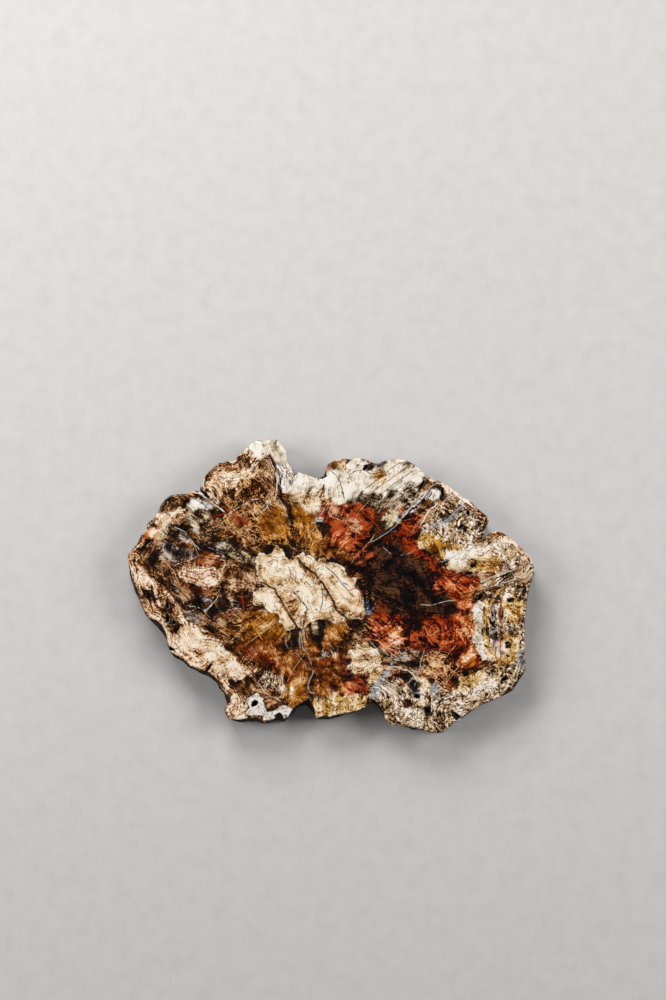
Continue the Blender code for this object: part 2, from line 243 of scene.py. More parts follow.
LAYERS = (
    Layer(Kind.HATCHED, comb=4.0, soft=3.0, patches="""
        205,500 214,490 240,478 262,470 276,486 280,500 290,520 294,541 284,548 262,554 244,548 222,540
        210,530 206,515 /
        250,616 300,630 330,640 346,656 346,700 316,700 300,696 280,690 262,676 240,662 226,646 232,625 /
        318,528 340,543 356,566 346,568 330,558 318,552"""),
    Layer(Kind.OXBLOOD, comb=5.0, soft=3.5, patches="""
        326,498 345,502 365,500 384,506 400,512 414,518 418,534 430,552 445,566 456,580 470,590 472,604
        465,618 458,630 460,650 455,665 440,680 425,680 405,655 392,648 380,640 365,640 350,632 350,622
        366,618 376,610 370,590 358,576 345,562 330,548 322,535 320,515 /
        340,655 350,674 366,676 366,690 346,700 338,690 336,670"""),
    Layer(Kind.SPECKLED, comb=2.0, soft=1.5, patches="""
        424,472 440,480 500,518 486,531 478,541 470,549 455,548 445,545 432,538 420,538 424,528 430,518
        438,505 445,500 446,490 436,484 424,480 /
        478,545 486,536 500,528 520,545 538,562 536,580 530,590 520,600 500,600 486,600 478,590 482,575
        480,560 476,552 /
        484,596 500,592 530,590 530,660 520,680 515,690 500,700 480,708 465,714 450,729 440,736 420,732
        400,729 384,724 376,708 372,698 378,688 384,680 398,684 410,692 425,682 445,686 458,690 458,678
        480,670 490,668 488,640 486,620"""),
    Layer(Kind.LATTICE, comb=4.0, soft=3.0, patches="""
        352,494 366,490 384,490 400,484 420,478 424,486 414,502 402,514 384,514 366,510 356,506 /
        382,640 400,646 420,652 424,664 414,670 400,664 388,660 380,650"""),
    Layer(Kind.CINDER, comb=4.0, soft=4.0, patches="""
        366,510 384,512 402,512 408,522 398,532 388,542 404,546 414,556 428,566 438,578 448,590 460,600
        460,614 440,619 420,619 400,619 384,614 374,602 366,588 358,572 352,556 346,542 342,532 352,528 /
        344,516 352,512 354,520 346,522"""),
    Layer(Kind.RED_NET, comb=4.0, soft=3.0, patches="""
        324,502 336,500 348,506 362,502 372,506 376,516 368,530 366,540 372,552 362,562 350,556 340,550
        328,542 332,530 332,520 326,512 /
        396,510 412,508 420,518 418,530 424,546 412,540 402,532 398,520 /
        362,620 380,616 400,620 420,620 440,622 452,634 450,646 430,650 412,646 396,650 384,646 370,640 /
        338,656 350,676 366,680 360,694 342,696 336,680"""),
    Layer(Kind.NETTED, comb=2.0, soft=2.0, patches="""
        424,652 440,648 456,652 462,664 460,684 450,692 438,684 428,680 420,678 418,668"""),
    Layer(Kind.RIND, seam=0.5, patches="""
        120,556 135,549 141,557 139,563 147,571 155,578 163,585 170,593 173,600 177,606 183,612 189,620
        196,625 205,628 212,634 217,638 223,643 226,650 232,655 239,661 247,666 254,673 250,678 240,680
        232,682 226,690 232,700 216,705 196,678 176,664 156,652 150,630 142,622 130,608 122,585 120,565 /
        124,560 136,549 143,546 150,547 147,541 152,536 158,530 160,524 173,527 184,523 180,523 182,507
        172,510 163,511 158,496 140,520 124,545 /
        196,486 206,472 218,458 232,456 243,450 246,444 258,435 270,435 272,452 262,459 256,463 250,470
        240,480 236,488 226,492 218,496 219,507 212,503 206,492 200,494 /
        218,704 228,697 236,692 246,694 250,700 246,714 240,724 224,724 216,712 /
        424,476 436,478 452,486 470,498 488,514 484,522 474,510 462,500 448,494 440,484 430,482 /
        486,536 500,528 520,542 536,560 534,574 526,570 522,556 510,544 498,540"""),
    Layer(Kind.PALE_RIND, soft=1.4, patches="""
        196,640 204,636 212,640 220,644 228,652 236,660 246,668 252,673 246,677 236,680 226,676 214,668
        206,658 198,648 /
        168,622 184,622 198,630 206,640 200,650 186,648 172,640 164,630 /
        208,486 212,476 222,471 234,470 240,477 236,487 226,490 216,492 /
        250,446 258,438 272,438 274,450 262,457 252,456 /
        158,519 160,513 168,512 178,511 184,508 190,511 198,518 201,521 199,529 190,526 184,523 174,525
        164,524"""),
    Layer(Kind.SALMON, comb=3.0, soft=1.5, patches="""
        320,498 332,500 338,506 344,514 338,520 330,516 324,512 /
        336,510 346,514 356,522 362,530 356,532 346,524 338,516 /
        322,542 336,546 350,556 362,566 352,564 338,556 324,552 /
        382,672 396,668 404,684 398,690 386,690 380,682 /
        386,636 400,634 404,648 394,656 384,650"""),
    Layer(Kind.SOOT, comb=3.0, soft=1.3, patches="""
        137,549 150,546 160,548 162,560 168,568 176,576 186,584 198,592 208,600 218,610 222,620 218,634
        206,628 196,622 188,616 180,606 172,594 162,584 150,574 140,563 /
        176,525 188,523 200,530 214,531 224,538 240,544 256,550 263,556 258,562 244,562 230,556 222,552
        214,556 202,555 198,545 188,532 /
        160,508 164,500 172,495 184,496 186,500 180,506 170,510 162,511 /
        200,508 214,506 224,514 226,526 214,534 200,532 202,520 /
        256,554 264,546 276,543 286,541 296,545 306,553 298,557 284,552 272,553 262,558 /
        286,630 298,626 312,620 324,624 330,632 320,640 316,656 306,656 300,650 290,648 /
        344,622 360,617 372,620 370,632 356,642 342,652 326,658 318,650 332,642 346,636 /
        224,640 234,640 236,648 228,650 /
        306,628 320,622 328,626 326,640 318,656 308,652 304,640 /
        262,660 276,658 280,670 266,674 /
        238,458 250,460 252,470 242,470 /
        398,658 410,652 424,656 420,666 408,668 400,664 /
        222,578 236,582 254,580 258,594 244,600 232,598 218,612 218,598 /
        352,582 358,576 366,584 374,600 372,614 364,612 362,596 /
        150,538 158,540 158,546 146,544"""),
    Layer(Kind.FAWN, comb=2.0, soft=1.8, patches="""
        262,462 270,460 276,470 276,488 268,494 260,486 258,470 /
        222,558 236,562 250,566 262,570 262,584 246,586 232,584 222,574 /
        229,588 238,586 240,596 238,608 232,604 228,596 /
        326,458 338,456 352,458 346,466 338,472 328,474 /
        206,604 222,606 238,604 246,610 230,622 214,626 200,616 /
        322,674 336,672 338,690 322,688 /
        238,682 250,680 256,688 248,694 238,692"""),
    Layer(Kind.OLIVE, comb=2.0, soft=1.5, patches="""
        222,541 232,545 240,551 248,556 254,562 250,565 242,561 234,557 226,556 221,551 /
        308,624 326,620 332,626 322,634 312,632 /
        382,514 396,508 404,518 396,530 384,526 /
        160,527 168,526 170,536 160,537 /
        199,500 208,503 212,508 206,518 200,514 198,508 /
        342,598 356,596 364,606 362,617 350,618 344,610"""),
    Layer(Kind.AMBER, comb=3.0, soft=2.0, patches="""
        264,514 276,509 284,512 288,524 290,536 286,543 272,541 262,540 258,528 /
        291,502 300,506 308,513 317,513 316,522 318,532 322,541 324,552 310,556 304,546 298,540 294,526
        290,514 /
        280,684 292,680 304,684 304,702 288,704 /
        244,612 258,608 270,612 282,620 290,632 280,640 264,644 252,642 244,630 /
        328,622 342,622 350,626 346,638 336,646 326,640"""),
    Layer(Kind.RUSSET, comb=2.0, soft=3.0, patches="""
        240,640 262,636 284,640 302,650 303,672 292,684 276,674 262,662 246,656 /
        306,640 330,640 334,652 344,668 342,692 320,696 306,688 /
        324,530 344,546 358,564 346,566 330,556 320,548"""),
    Layer(Kind.TERRACOTTA, ragged=1.0, comb=2.0, soft=1.0, patches="""
        181,581 190,583 198,586 205,589 212,594 210,599 203,597 195,594 188,590 182,586 /
        194,556 206,553 218,556 222,566 212,566 198,562 /
        232,517 248,516 246,524 236,526 /
        240,646 256,646 262,658 250,662"""),
    Layer(Kind.BONE, soft=2.0, ragged=0.8, patches="""
        290,500 290,488 300,480 322,484 324,494 320,506 316,514 306,512 300,504 /
        324,496 336,486 352,484 356,494 346,506 336,502 /
        240,470 252,468 254,476 244,480"""),
    # The first and third patches, the white band along the top of the face, are partly white stone and
    # partly a painted highlight of the polish's glare.
    Layer(Kind.IVORY, comb=2.5, soft=2.0, ragged=0.9, patches="""
        322,484 330,472 340,468 348,460 360,456 372,466 378,466 386,458 400,455 412,460 426,474 420,482
        408,483 396,490 384,495 372,495 362,493 356,500 344,502 332,498 324,492 /
        250,446 258,438 268,437 280,438 287,448 291,460 296,472 308,474 292,484 284,478 279,468 272,458
        262,456 252,457 /
        292,476 300,470 312,474 326,478 324,490 312,494 300,494 288,490 /
        184,503 190,500 198,501 199,508 192,512 185,508 /
        186,512 193,514 201,521 199,528 190,526 184,522"""),
    Layer(Kind.LILAC, soft=1.5, ragged=0.8, patches="""
        276,462 281,462 290,476 292,484 284,492 279,484 /
        418,498 424,492 432,489 440,490 442,496 436,500 428,499 /
        402,516 410,508 418,500 424,494 420,506 410,514"""),
    Layer(Kind.BONE, ragged=2.4, soft=1.2, patches="""
        438,550 446,545 456,545 464,550 478,548 478,556 472,564 476,571 462,573 453,570 444,562 /
        350,660 352,652 358,646 366,642 374,645 380,653 382,662 376,668 366,672 356,671 350,667"""),
    Layer(Kind.RED_NET, ragged=2.2, soft=1.5, patches="""
        364,655 369,652 373,656 369,661"""),
    Layer(Kind.SOOT, ragged=2.6, soft=0.9, patches="""
        141,588 147,589 153,594 160,600 154,603 147,600 142,595 /
        162,598 169,599 173,606 177,613 170,614 164,609 /
        162,612 168,613 173,618 179,619 182,625 177,633 172,636 167,629 164,621 /
        190,590 200,594 206,600 204,606 196,604 188,598"""),
    Layer(Kind.STRIPED, comb=3.0, soft=1.5, patches="""
        452,582 462,574 476,572 490,572 506,572 520,566 534,562 534,572 524,580 508,586 494,590 480,592
        466,588 /
        384,674 400,680 404,688 398,694 386,692 379,686 /
        256,672 268,670 284,676 288,690 276,690 262,684 /
        318,648 332,650 336,656 322,658"""),
    Layer(Kind.IVORY, ragged=1.4, soft=0.8, comb=1.0, patches="""
        473,606 480,600 486,601 484,612 484,626 482,634 485,646 488,656 482,660 478,652 474,646 471,636
        472,624 472,614 /
        446,552 454,548 462,553 470,552 468,560 464,568 455,566 449,560 /
        502,564 512,562 516,566 508,570 502,570"""),
    Layer(Kind.ORNATE, ragged=0.9, seam=1.0, patches="""
        246,699 252,694 259,693 263,697 264,705 268,711 274,711 280,706 287,705 294,709 290,716 284,718
        279,714 274,719 264,719 260,714 252,715 246,712 250,707"""),
    Layer(Kind.CREAM, ragged=0.9, seam=0.8, patches="""
        256,558 260,554 265,553 268,557 271,552 274,549 276,545 279,549 283,551 285,555 288,559 291,561
        294,558 297,556 300,556 303,553 307,555 310,555 313,558 316,561 320,558 323,557 326,560 330,562
        335,564 340,565 343,567 345,572 348,576 352,578 357,579 356,583 354,586 358,590 361,592 363,597
        364,604 365,611 364,616 361,619 355,618 349,619 342,620 335,622 328,620 322,619 316,619 311,621
        306,625 302,628 297,626 292,629 289,632 286,629 283,625 280,621 279,615 275,613 271,612 266,608
        262,604 258,607 254,605 252,597 254,592 260,588 266,587 258,578"""),
    # Painted shade in the stone's tan: darker bands along one side of each of the heart's cracks.
    Layer(Kind.TAN, soft=2.6, ragged=0.8, patches="""
        270,584 278,586 288,594 298,604 300,614 296,622 288,610 280,600 272,592 /
        266,566 274,570 284,580 278,584 268,578 /
        304,558 314,566 324,577 332,590 338,603 348,618 338,616 328,604 320,592 312,580 303,568 /
        333,613 342,610 350,618 338,622 328,620 /
        344,596 354,595 362,602 364,616 354,618 347,610"""),
    Layer(Kind.MILK, soft=2.2, ragged=0.8, patches="""
        258,560 266,556 276,550 284,556 282,566 284,576 276,580 266,574 /
        284,560 298,562 306,574 316,586 322,600 316,610 306,612 300,600 292,586 284,574 /
        254,594 264,590 272,596 278,606 272,610 264,604 256,603 /
        322,562 336,568 350,580 358,592 350,596 342,590 332,578 322,570 /
        318,592 326,600 332,612 322,617 314,612"""),
    Layer(Kind.FLAME, comb=3.0, soft=2.4, patches="""
        432,574 448,570 462,573 476,574 480,586 470,592 474,602 470,612 460,616 456,602 448,592 436,586 /
        458,614 470,612 473,632 470,642 476,654 482,662 476,668 460,669 452,656 444,646 440,632 448,622 /
        335,534 342,532 350,540 348,548 338,546 /
        370,630 384,622 396,620 404,628 402,640 388,646 376,640 /
        241,597 247,598 247,607 241,607 /
        344,676 356,676 360,684 348,690"""),
    Layer(Kind.PEACH, ragged=1.4, soft=1.2, patches="""
        460,616 470,612 474,622 474,634 468,638 461,630 /
        462,646 471,646 476,656 474,666 462,666 /
        386,628 394,626 402,629 402,636 394,637 386,634 /
        388,641 394,639 400,642 394,644 /
        316,664 322,660 330,657 337,658 330,664 320,668 /
        140,541 148,530 158,520 160,528 152,536 148,541 /
        458,592 470,592 474,600 464,604"""),
    Layer(Kind.GOLD, ragged=2.0, soft=1.5, comb=1.5, patches="""
        372,472 382,468 390,474 386,484 376,482 /
        338,466 346,462 350,470 342,474 /
        418,536 426,532 434,534 446,540 460,546 452,552 440,549 444,558 436,557 426,550 418,546 /
        462,570 474,566 482,560 482,570 472,574 /
        484,596 490,598 492,606 488,616 486,630 489,644 496,656 500,668 493,664 486,652 483,636 484,616 /
        503,596 515,594 524,600 524,618 514,624 505,620 502,608 /
        502,634 518,634 522,646 518,662 504,668 500,650 /
        314,700 330,694 345,694 360,694 368,702 356,713 330,718 314,719 /
        366,680 372,674 382,668 380,676 370,684 /
        416,684 424,678 432,680 424,690 416,690 /
        480,558 496,556 502,564 496,574 482,572 /
        458,678 470,672 486,669 484,680 468,690 458,692"""),
    Layer(Kind.MAUVE, ragged=1.4, soft=1.0, patches="""
        160,545 166,540 175,543 183,546 190,550 197,557 188,560 178,562 168,562 160,560 /
        178,528 188,532 192,542 180,541 176,534 /
        490,598 496,598 495,614 499,640 504,656 496,650 490,636 491,616 /
        217,541 225,541 226,558 218,556 /
        232,600 240,600 238,610 232,610 /
        184,610 196,612 204,618 196,623 186,620 /
        400,650 410,656 406,662 398,658"""),
    Layer(Kind.BLUE_GREY, ragged=1.4, soft=1.0, patches="""
        369,698 370,688 376,680 384,670 392,664 388,672 382,680 380,690 376,698 /
        432,680 440,684 438,698 430,694 /
        430,527 438,521 448,518 456,508 464,504 460,512 450,520 440,526 /
        200,500 210,504 212,510 206,512 203,511 /
        201,596 208,596 209,600 202,601 /
        262,500 269,500 269,506 264,507 /
        315,517 323,518 322,524 316,524 /
        516,650 525,648 524,668 516,672 /
        394,516 399,516 399,521 394,520"""),
    Layer(Kind.AGATE, ragged=1.2, soft=0.9, patches="""
        178,568 188,569 198,569 208,566 214,565 220,570 222,577 218,583 212,587 206,587 200,585 192,582
        184,580 178,578"""),
    # Its last patch, at 364,465, is painted shade at the mouth of a slot in the face.
    Layer(Kind.CINDER, ragged=1.6, soft=1.0, patches="""
        168,530 178,530 180,542 170,543 /
        150,523 158,523 158,529 150,529 /
        400,674 410,672 415,676 406,680 /
        404,700 412,699 412,706 404,706 /
        450,674 458,676 458,688 451,686 /
        364,465 372,463 374,468 368,472"""),
    # Painted shade: near-black patches at the mouths of the face's pits, slits and holes.
    Layer(Kind.INK, ragged=0.7, soft=0.5, patches="""
        316,522 318,530 323,534 329,533 331,527 326,522 /
        283,547 288,543 293,552 291,560 286,557 /
        262,549 268,545 275,546 272,553 266,555 /
        355,583 358,579 362,581 366,592 365,597 360,590 /
        252,701 255,699 258,701 257,705 253,707 /
        243,701 246,700 246,704 243,706 /
        219,598 225,595 230,600 230,607 224,612 219,610 /
        206,610 212,609 216,613 214,618 208,617 /
        431,488 438,485 443,488 446,496 443,503 440,500 441,492 437,488 /
        145,539 154,539 153,545 145,544 /
        290,630 298,628 299,646 292,644 /
        450,710 453,710 457,716 461,717 456,719 451,715 /
        417,492 426,480 427,484 420,492 /
        506,598 514,598 512,602 507,602 /
        484,597 482,594 478,595 477,599 481,601 /
        457,528 463,524 468,528 462,531 /
        466,508 470,511 469,517 466,514 /
        422,706 430,705 433,714 425,716 /
        274,714 280,711 285,718 276,720 /
        461,628 464,632 470,638 463,634 /
        505,642 511,642 510,648 505,648"""),
    Layer(Kind.INDIGO, ragged=1.8, soft=1.0, patches="""
        364,599 368,600 371,606 373,612 368,617 365,611 /
        410,680 417,682 420,690 418,699 412,698 411,690"""),
)


@dataclass(frozen=True)
class Filling:
    """What fills a crack: its screen colour, how much of it is kept where it is faint, and a dark edge."""

    colour: str
    kept: float = 0.3
    edged: bool = True


class Thread(Enum):
    """The fillings of cracks and veins."""

    BROWN = Filling("5c3014", kept=0.8, edged=False)
    SAND = Filling("d8a874")
    OCHRE = Filling("d89c38", kept=0.5)
    RED = Filling("a8300e", kept=0.6)
    WHITE = Filling("e8e0d6", kept=0.05)
    GREY = Filling("b0aeac", kept=0.05)
    RUST = Filling("a03018", kept=0.7, edged=False)
    BLACK = Filling("080402", kept=0.7, edged=False)


@dataclass(frozen=True)
class Vein:
    """One vein: its width in mm and its line in photo pixels."""

    width: float
    line: Corners


# The veins of each filling, each on its own line: the width in mm, then the route in photo pixels.
VEINS = {
    Thread.BROWN: """
        3.6 298,559 309,570 320,581 329,595 337,610 350,621
        3.4 264,583 274,590 283,603 293,620 297,627
        1.6 300,566 312,574 320,586 323,598 320,612
        1.6 326,566 336,576 344,586 352,594
        1.6 150,566 158,574 168,582 176,590
        1.4 160,586 170,592 178,598 186,606
        2.0 306,646 312,654 318,664 326,670
        1.6 236,646 248,652 262,662 272,672
        1.2 350,474 362,470 372,474 382,472
        1.2 366,488 380,478 394,466 404,462
        1.0 372,492 386,482 400,472 410,466""",
    Thread.SAND: """
        0.9 170,565 175,572 178,580 180,587
        0.9 208,622 216,627 226,623 236,617
        1.1 221,500 230,507 238,514 244,520
        1.1 224,494 234,502 242,508
        1.2 236,516 246,512 256,507 262,503
        1.2 244,534 248,528 256,526 262,530 263,540 259,546 252,548
        1.0 248,537 252,534 256,537 253,541
        1.1 216,530 222,527 232,530 242,534
        1.0 226,522 236,527 246,533
        1.1 166,561 172,569 177,578 180,586
        1.0 203,606 206,613 213,619 222,619 232,613 238,606
        1.1 246,644 256,637 266,630 276,621
        1.0 232,640 238,633 246,627
        1.0 288,680 294,668 301,659 306,650
        1.2 304,544 308,536 314,528 318,526
        1.6 332,517 345,522 360,533
        1.1 352,562 360,552 368,543 374,536
        0.9 378,512 386,503 394,496
        0.9 356,516 362,508 368,502
        2.0 412,531 420,521 430,513 438,506
        1.2 424,627 429,635 434,633 438,629
        1.3 426,668 432,660 440,650 446,643
        1.3 432,674 440,664 448,654 454,646
        1.2 446,682 452,674 460,664
        1.1 424,664 434,670 444,679
        1.1 430,655 441,662 452,670 462,677""",
    Thread.OCHRE: """
        1.6 252,622 256,630 262,638
        1.2 300,538 306,530 314,522
        2.0 424,533 432,539 438,546 441,555
        1.6 432,538 442,544 450,545
        1.8 484,634 490,643 494,653 500,663 498,668
        2.2 485,626 487,612 491,602 497,592 506,586
        1.2 262,620 270,626 278,634""",
    Thread.RED: """
        1.2 258,640 272,652 288,666 298,676
        1.2 244,650 256,656 268,664
        1.8 342,540 347,526 353,512 357,503
        1.6 332,532 340,526 346,518
        1.6 334,506 344,512 356,518 366,526
        1.4 346,546 356,538 366,528 374,518
        1.5 362,512 372,520 380,530
        1.5 380,516 388,508 396,500
        1.6 398,534 406,526 414,520
        1.4 404,540 412,530 420,526
        1.8 434,588 446,580 460,574
        1.8 436,594 450,588 464,582 474,578
        1.5 428,650 440,648 452,650
        1.5 440,668 446,676 452,684
        1.4 240,596 243,602 244,608
        1.4 214,516 224,514 236,512 246,508
        1.2 222,506 232,512 242,520 250,528
        1.2 256,648 268,658 282,668 292,680""",
    Thread.WHITE: """
        1.8 270,460 273,467 276,474 277,483 277,492 275,499
        0.8 280,500 285,510 289,519 291,526
        0.9 275,499 270,503 266,508 262,512
        0.9 314,483 318,492 318,505 320,515 325,508
        0.9 172,526 183,531 188,536 192,541 199,549
        0.7 205,544 210,548 217,550
        1.0 175,566 181,562 190,560 197,556
        2.0 194,492 200,494 210,501 219,507 224,511
        2.2 203,485 206,491 212,495 218,501
        1.0 228,515 236,509 245,504 252,500 258,499
        2.0 403,517 412,507 420,500 426,493
        2.2 421,524 426,516 432,508 437,503
        0.8 421,604 430,605 438,603 446,601 455,600
        0.8 206,610 211,606 214,602
        1.2 190,606 198,607 205,611 205,615
        1.0 262,628 270,624 275,618
        1.0 378,636 374,634
        0.9 302,612 303,633
        0.9 323,651 328,656
        0.9 331,650 335,656
        1.5 400,669 408,670 413,673 417,678
        1.0 431,487 436,483 443,484
        0.9 174,584 178,590 182,592
        0.9 177,596 182,598 184,603
        0.9 208,609 212,604 216,600 218,596
        1.0 388,503 400,492 412,483
        1.1 482,581 496,575 510,571 524,565
        1.0 486,588 498,584 512,580 526,573
        1.5 386,668 394,666 404,668 412,673 416,680
        1.1 384,678 393,685 402,693
        1.2 258,682 264,690 272,696 280,700""",
    Thread.GREY: """
        1.4 426,490 417,500 408,510 400,520 395,527
        1.2 395,527 388,532 380,537 372,542
        1.0 402,555 410,553 415,549
        1.0 384,548 390,553
        1.7 420,535 426,529 436,524 447,520 452,515 458,508 464,506
        1.0 441,562 450,558 460,554 470,549 480,545
        1.2 490,631 500,629 510,628 520,628 525,627
        1.7 424,650 421,660 419,670 417,678 415,684
        1.2 407,684 414,675
        1.2 300,632 302,640 303,647 307,653 311,662 314,672
        0.9 286,637 286,644 291,650 297,653 300,657 304,662 306,668
        1.5 313,672 310,680 308,687 310,691 315,693 317,697
        1.0 392,664 397,660 402,656
        0.9 370,641 380,651
        0.9 189,534 192,540 196,549 199,555
        0.9 493,634 496,626 494,614 493,604""",
    Thread.RUST: """
        1.8 187,571 193,572 199,574 204,573 208,570 214,571 218,572
        1.8 187,576 193,578 199,579 205,578 210,575 215,577
        1.6 201,581 205,584 208,587
        1.6 206,616 214,621 222,619 230,613 234,608
        1.4 360,552 368,545
        1.4 500,595 500,665
        1.4 350,590 355,588 360,590 362,598
        1.2 478,574 490,572 502,569 514,565 526,560
        1.0 350,652 356,660 362,656 368,652
        1.0 352,664 360,668 370,664 378,658
        1.2 236,704 240,712 236,717""",
    # Two of these lines, at 201,488 and at 171,646, are painted shade at the mouths of pits in the face.
    Thread.BLACK: """
        2.8 277,470 280,480 280,490 283,500 287,508 290,518 292,528 293,540
        2.4 201,488 205,494 210,498
        2.2 299,560 303,565 309,569 315,574 320,579 325,586 329,593 333,600 336,607 341,612 346,617 350,621
        1.0 314,573 319,568
        2.0 262,583 270,586 276,591 280,600 285,609 290,617 296,624 298,628
        2.0 292,590 298,597 303,602 307,608 306,615 304,622 302,630
        0.9 289,568 291,575 288,582 284,584
        0.9 296,573 296,582
        1.4 223,676 232,679 240,680 250,677 256,672
        1.2 243,697 248,693 254,691 262,693
        1.2 264,694 270,697 276,700 276,704 271,707 268,711 265,706
        1.2 488,688 500,688 511,689
        1.2 222,492 232,500 240,507 246,514
        1.2 219,497 226,506 234,512
        1.0 227,490 238,500 246,506 252,512
        1.0 250,507 256,515
        1.0 256,504 263,512
        1.0 246,536 250,531 256,530 259,536 256,542 250,543
        2.2 225,541 234,547 242,555 250,562
        1.4 230,538 240,544 250,552 258,556
        1.4 222,547 228,554 236,562 246,566
        1.0 220,524 232,530 244,538
        3.4 170,524 178,526 186,531 192,538 198,544 206,545 214,549
        4.4 200,544 208,541 216,540 222,542
        2.6 158,576 168,582 178,589 186,597 196,606 206,615 216,622
        1.6 190,586 198,592 206,597 214,600
        1.2 203,601 204,611 210,617 220,617 228,610
        1.0 262,640 274,650 286,662 296,674
        1.0 270,636 284,648 298,662
        1.2 256,650 268,660 280,674
        0.9 380,496 392,485 404,477
        0.9 386,500 398,489 410,481
        1.0 392,504 404,494 414,486
        2.2 412,521 421,513 430,505 437,500
        1.7 406,516 414,508 424,500
        1.3 480,584 492,579 504,576 518,571 530,563
        1.4 484,592 498,588 512,584 526,578 532,572
        1.3 438,591 452,593 464,594 473,591
        1.2 430,572 440,586 448,592
        1.2 444,574 452,580 458,588
        1.2 420,620 424,628 428,636 431,640
        1.0 501,600 501,612 504,624
        1.0 436,647 448,655 460,663
        1.0 438,657 448,664 458,672
        1.1 381,680 390,686 400,694
        1.1 387,678 395,684 404,692
        1.1 380,687 388,693 394,698
        1.4 171,646 176,649 180,646
        1.4 209,667 211,663 214,661
        1.2 160,508 168,504 176,499 184,496
        1.2 184,503 192,511 200,520
        1.0 190,497 200,502 208,508
        1.0 236,682 244,680 252,677
        1.4 196,560 204,556 212,552 220,556 228,562
        1.4 183,603 190,608 196,616 206,622 216,628
        1.2 214,572 220,582 224,592 228,600
        1.2 240,566 246,574 250,584 252,592
        1.3 330,470 338,478 342,488 344,498
        1.0 398,484 408,474 416,470
        1.2 256,676 264,684 270,690 280,698""",
}


def veins_of(thread: Thread) -> list[Vein]:
    """Reads the veins of one filling.

    Args:
        thread: The filling.

    Returns:
        Its veins, each with a rounded line.
    """
    found = []
    for row in VEINS[thread].strip().splitlines():
        width, route = row.split(maxsplit=1)
        found.append(Vein(float(width), rounded(path(route))))
    return found


# The heart of the log in the photograph: rays run from it and growth rings run round it.
HEART = "256,557 292,560 334,569 363,595 360,616 306,623 281,619 252,594"
HEART_CENTRE = (308.0, 590.0)


@dataclass(frozen=True)
class Glow:
    """A soft light or dark that lies over the patches: its pixel, radius in mm and strength."""

    at: tuple[float, float]
    radius: float
    strength: float


GLOWS = (
    Glow((400.0, 585.0), radius=26.0, strength=-0.12),
    Glow((430.0, 600.0), radius=20.0, strength=-0.10),
    Glow((250.0, 560.0), radius=12.0, strength=-0.08),
    Glow((180.0, 590.0), radius=14.0, strength=-0.08),
    Glow((345.0, 475.0), radius=16.0, strength=0.08),
    Glow((410.0, 470.0), radius=14.0, strength=-0.16),
    Glow((225.0, 655.0), radius=14.0, strength=0.08),
    Glow((320.0, 590.0), radius=16.0, strength=0.05),
)

# The mean of every noise, and the number of its output that holds three of them.
MEAN = 0.5
THREE_NOISES = 1

# How many numbers are kept together in one attribute.
PACK = 3


class Value:
    """One output of a node, which takes part in Python sums as a number does."""

    def __init__(self, graph: "Graph", node: bpy.types.Node, output: int | str) -> None:
        """Keeps the graph, the node in it and the number or name of the node's output."""
        self.graph = graph
        self.node = node
        self.output = output

    def socket(self) -> bpy.types.NodeSocket:
        """The output itself, looked up each time, because a node may replace its outputs."""
        return self.node.outputs[self.output]

    def __add__(self, other: "Operand") -> "Value":
        """The sum."""
        return self.graph.math("ADD", self, other)

    def __radd__(self, other: "Operand") -> "Value":
        """The sum, this output on the right."""
        return self.graph.math("ADD", other, self)

    def __sub__(self, other: "Operand") -> "Value":
        """The difference."""
        return self.graph.math("SUBTRACT", self, other)

    def __rsub__(self, other: "Operand") -> "Value":
        """The difference, this output on the right."""
        return self.graph.math("SUBTRACT", other, self)

    def __mul__(self, other: "Operand") -> "Value":
        """The product."""
        return self.graph.math("MULTIPLY", self, other)

    def __rmul__(self, other: "Operand") -> "Value":
        """The product, this output on the right."""
        return self.graph.math("MULTIPLY", other, self)

    def __abs__(self) -> "Value":
        """The size without its sign."""
        return self.graph.math("ABSOLUTE", self)

    def rise(self, low: float, high: float) -> "Value":
        """A smooth step.

        Args:
            low: The value that gives 0.
            high: The value that gives 1.

        Returns:
            0 below low, 1 above high and a smooth rise between them.
        """
        settings = {"interpolation_type": "SMOOTHSTEP"}
        return self.graph.node("ShaderNodeMapRange", settings, {0: self, 1: low, 2: high})

    def swing(self, gain: float) -> "Value":
        """A noise about 0 instead of about its mean, and stronger by a gain."""
        return gain * (self - MEAN)

    def both_ways(self) -> "Value":
        """A number from 0 to 1 spread over -1 to 1."""
        return 2.0 * self - 1.0

    def contour(self, level: float, width: float) -> "Value":
        """Thin lines where this output crosses a level: 1 on the line, 0 beyond its width."""
        return 1.0 - abs(self - level).rise(0.0, width)


Operand = Value | float


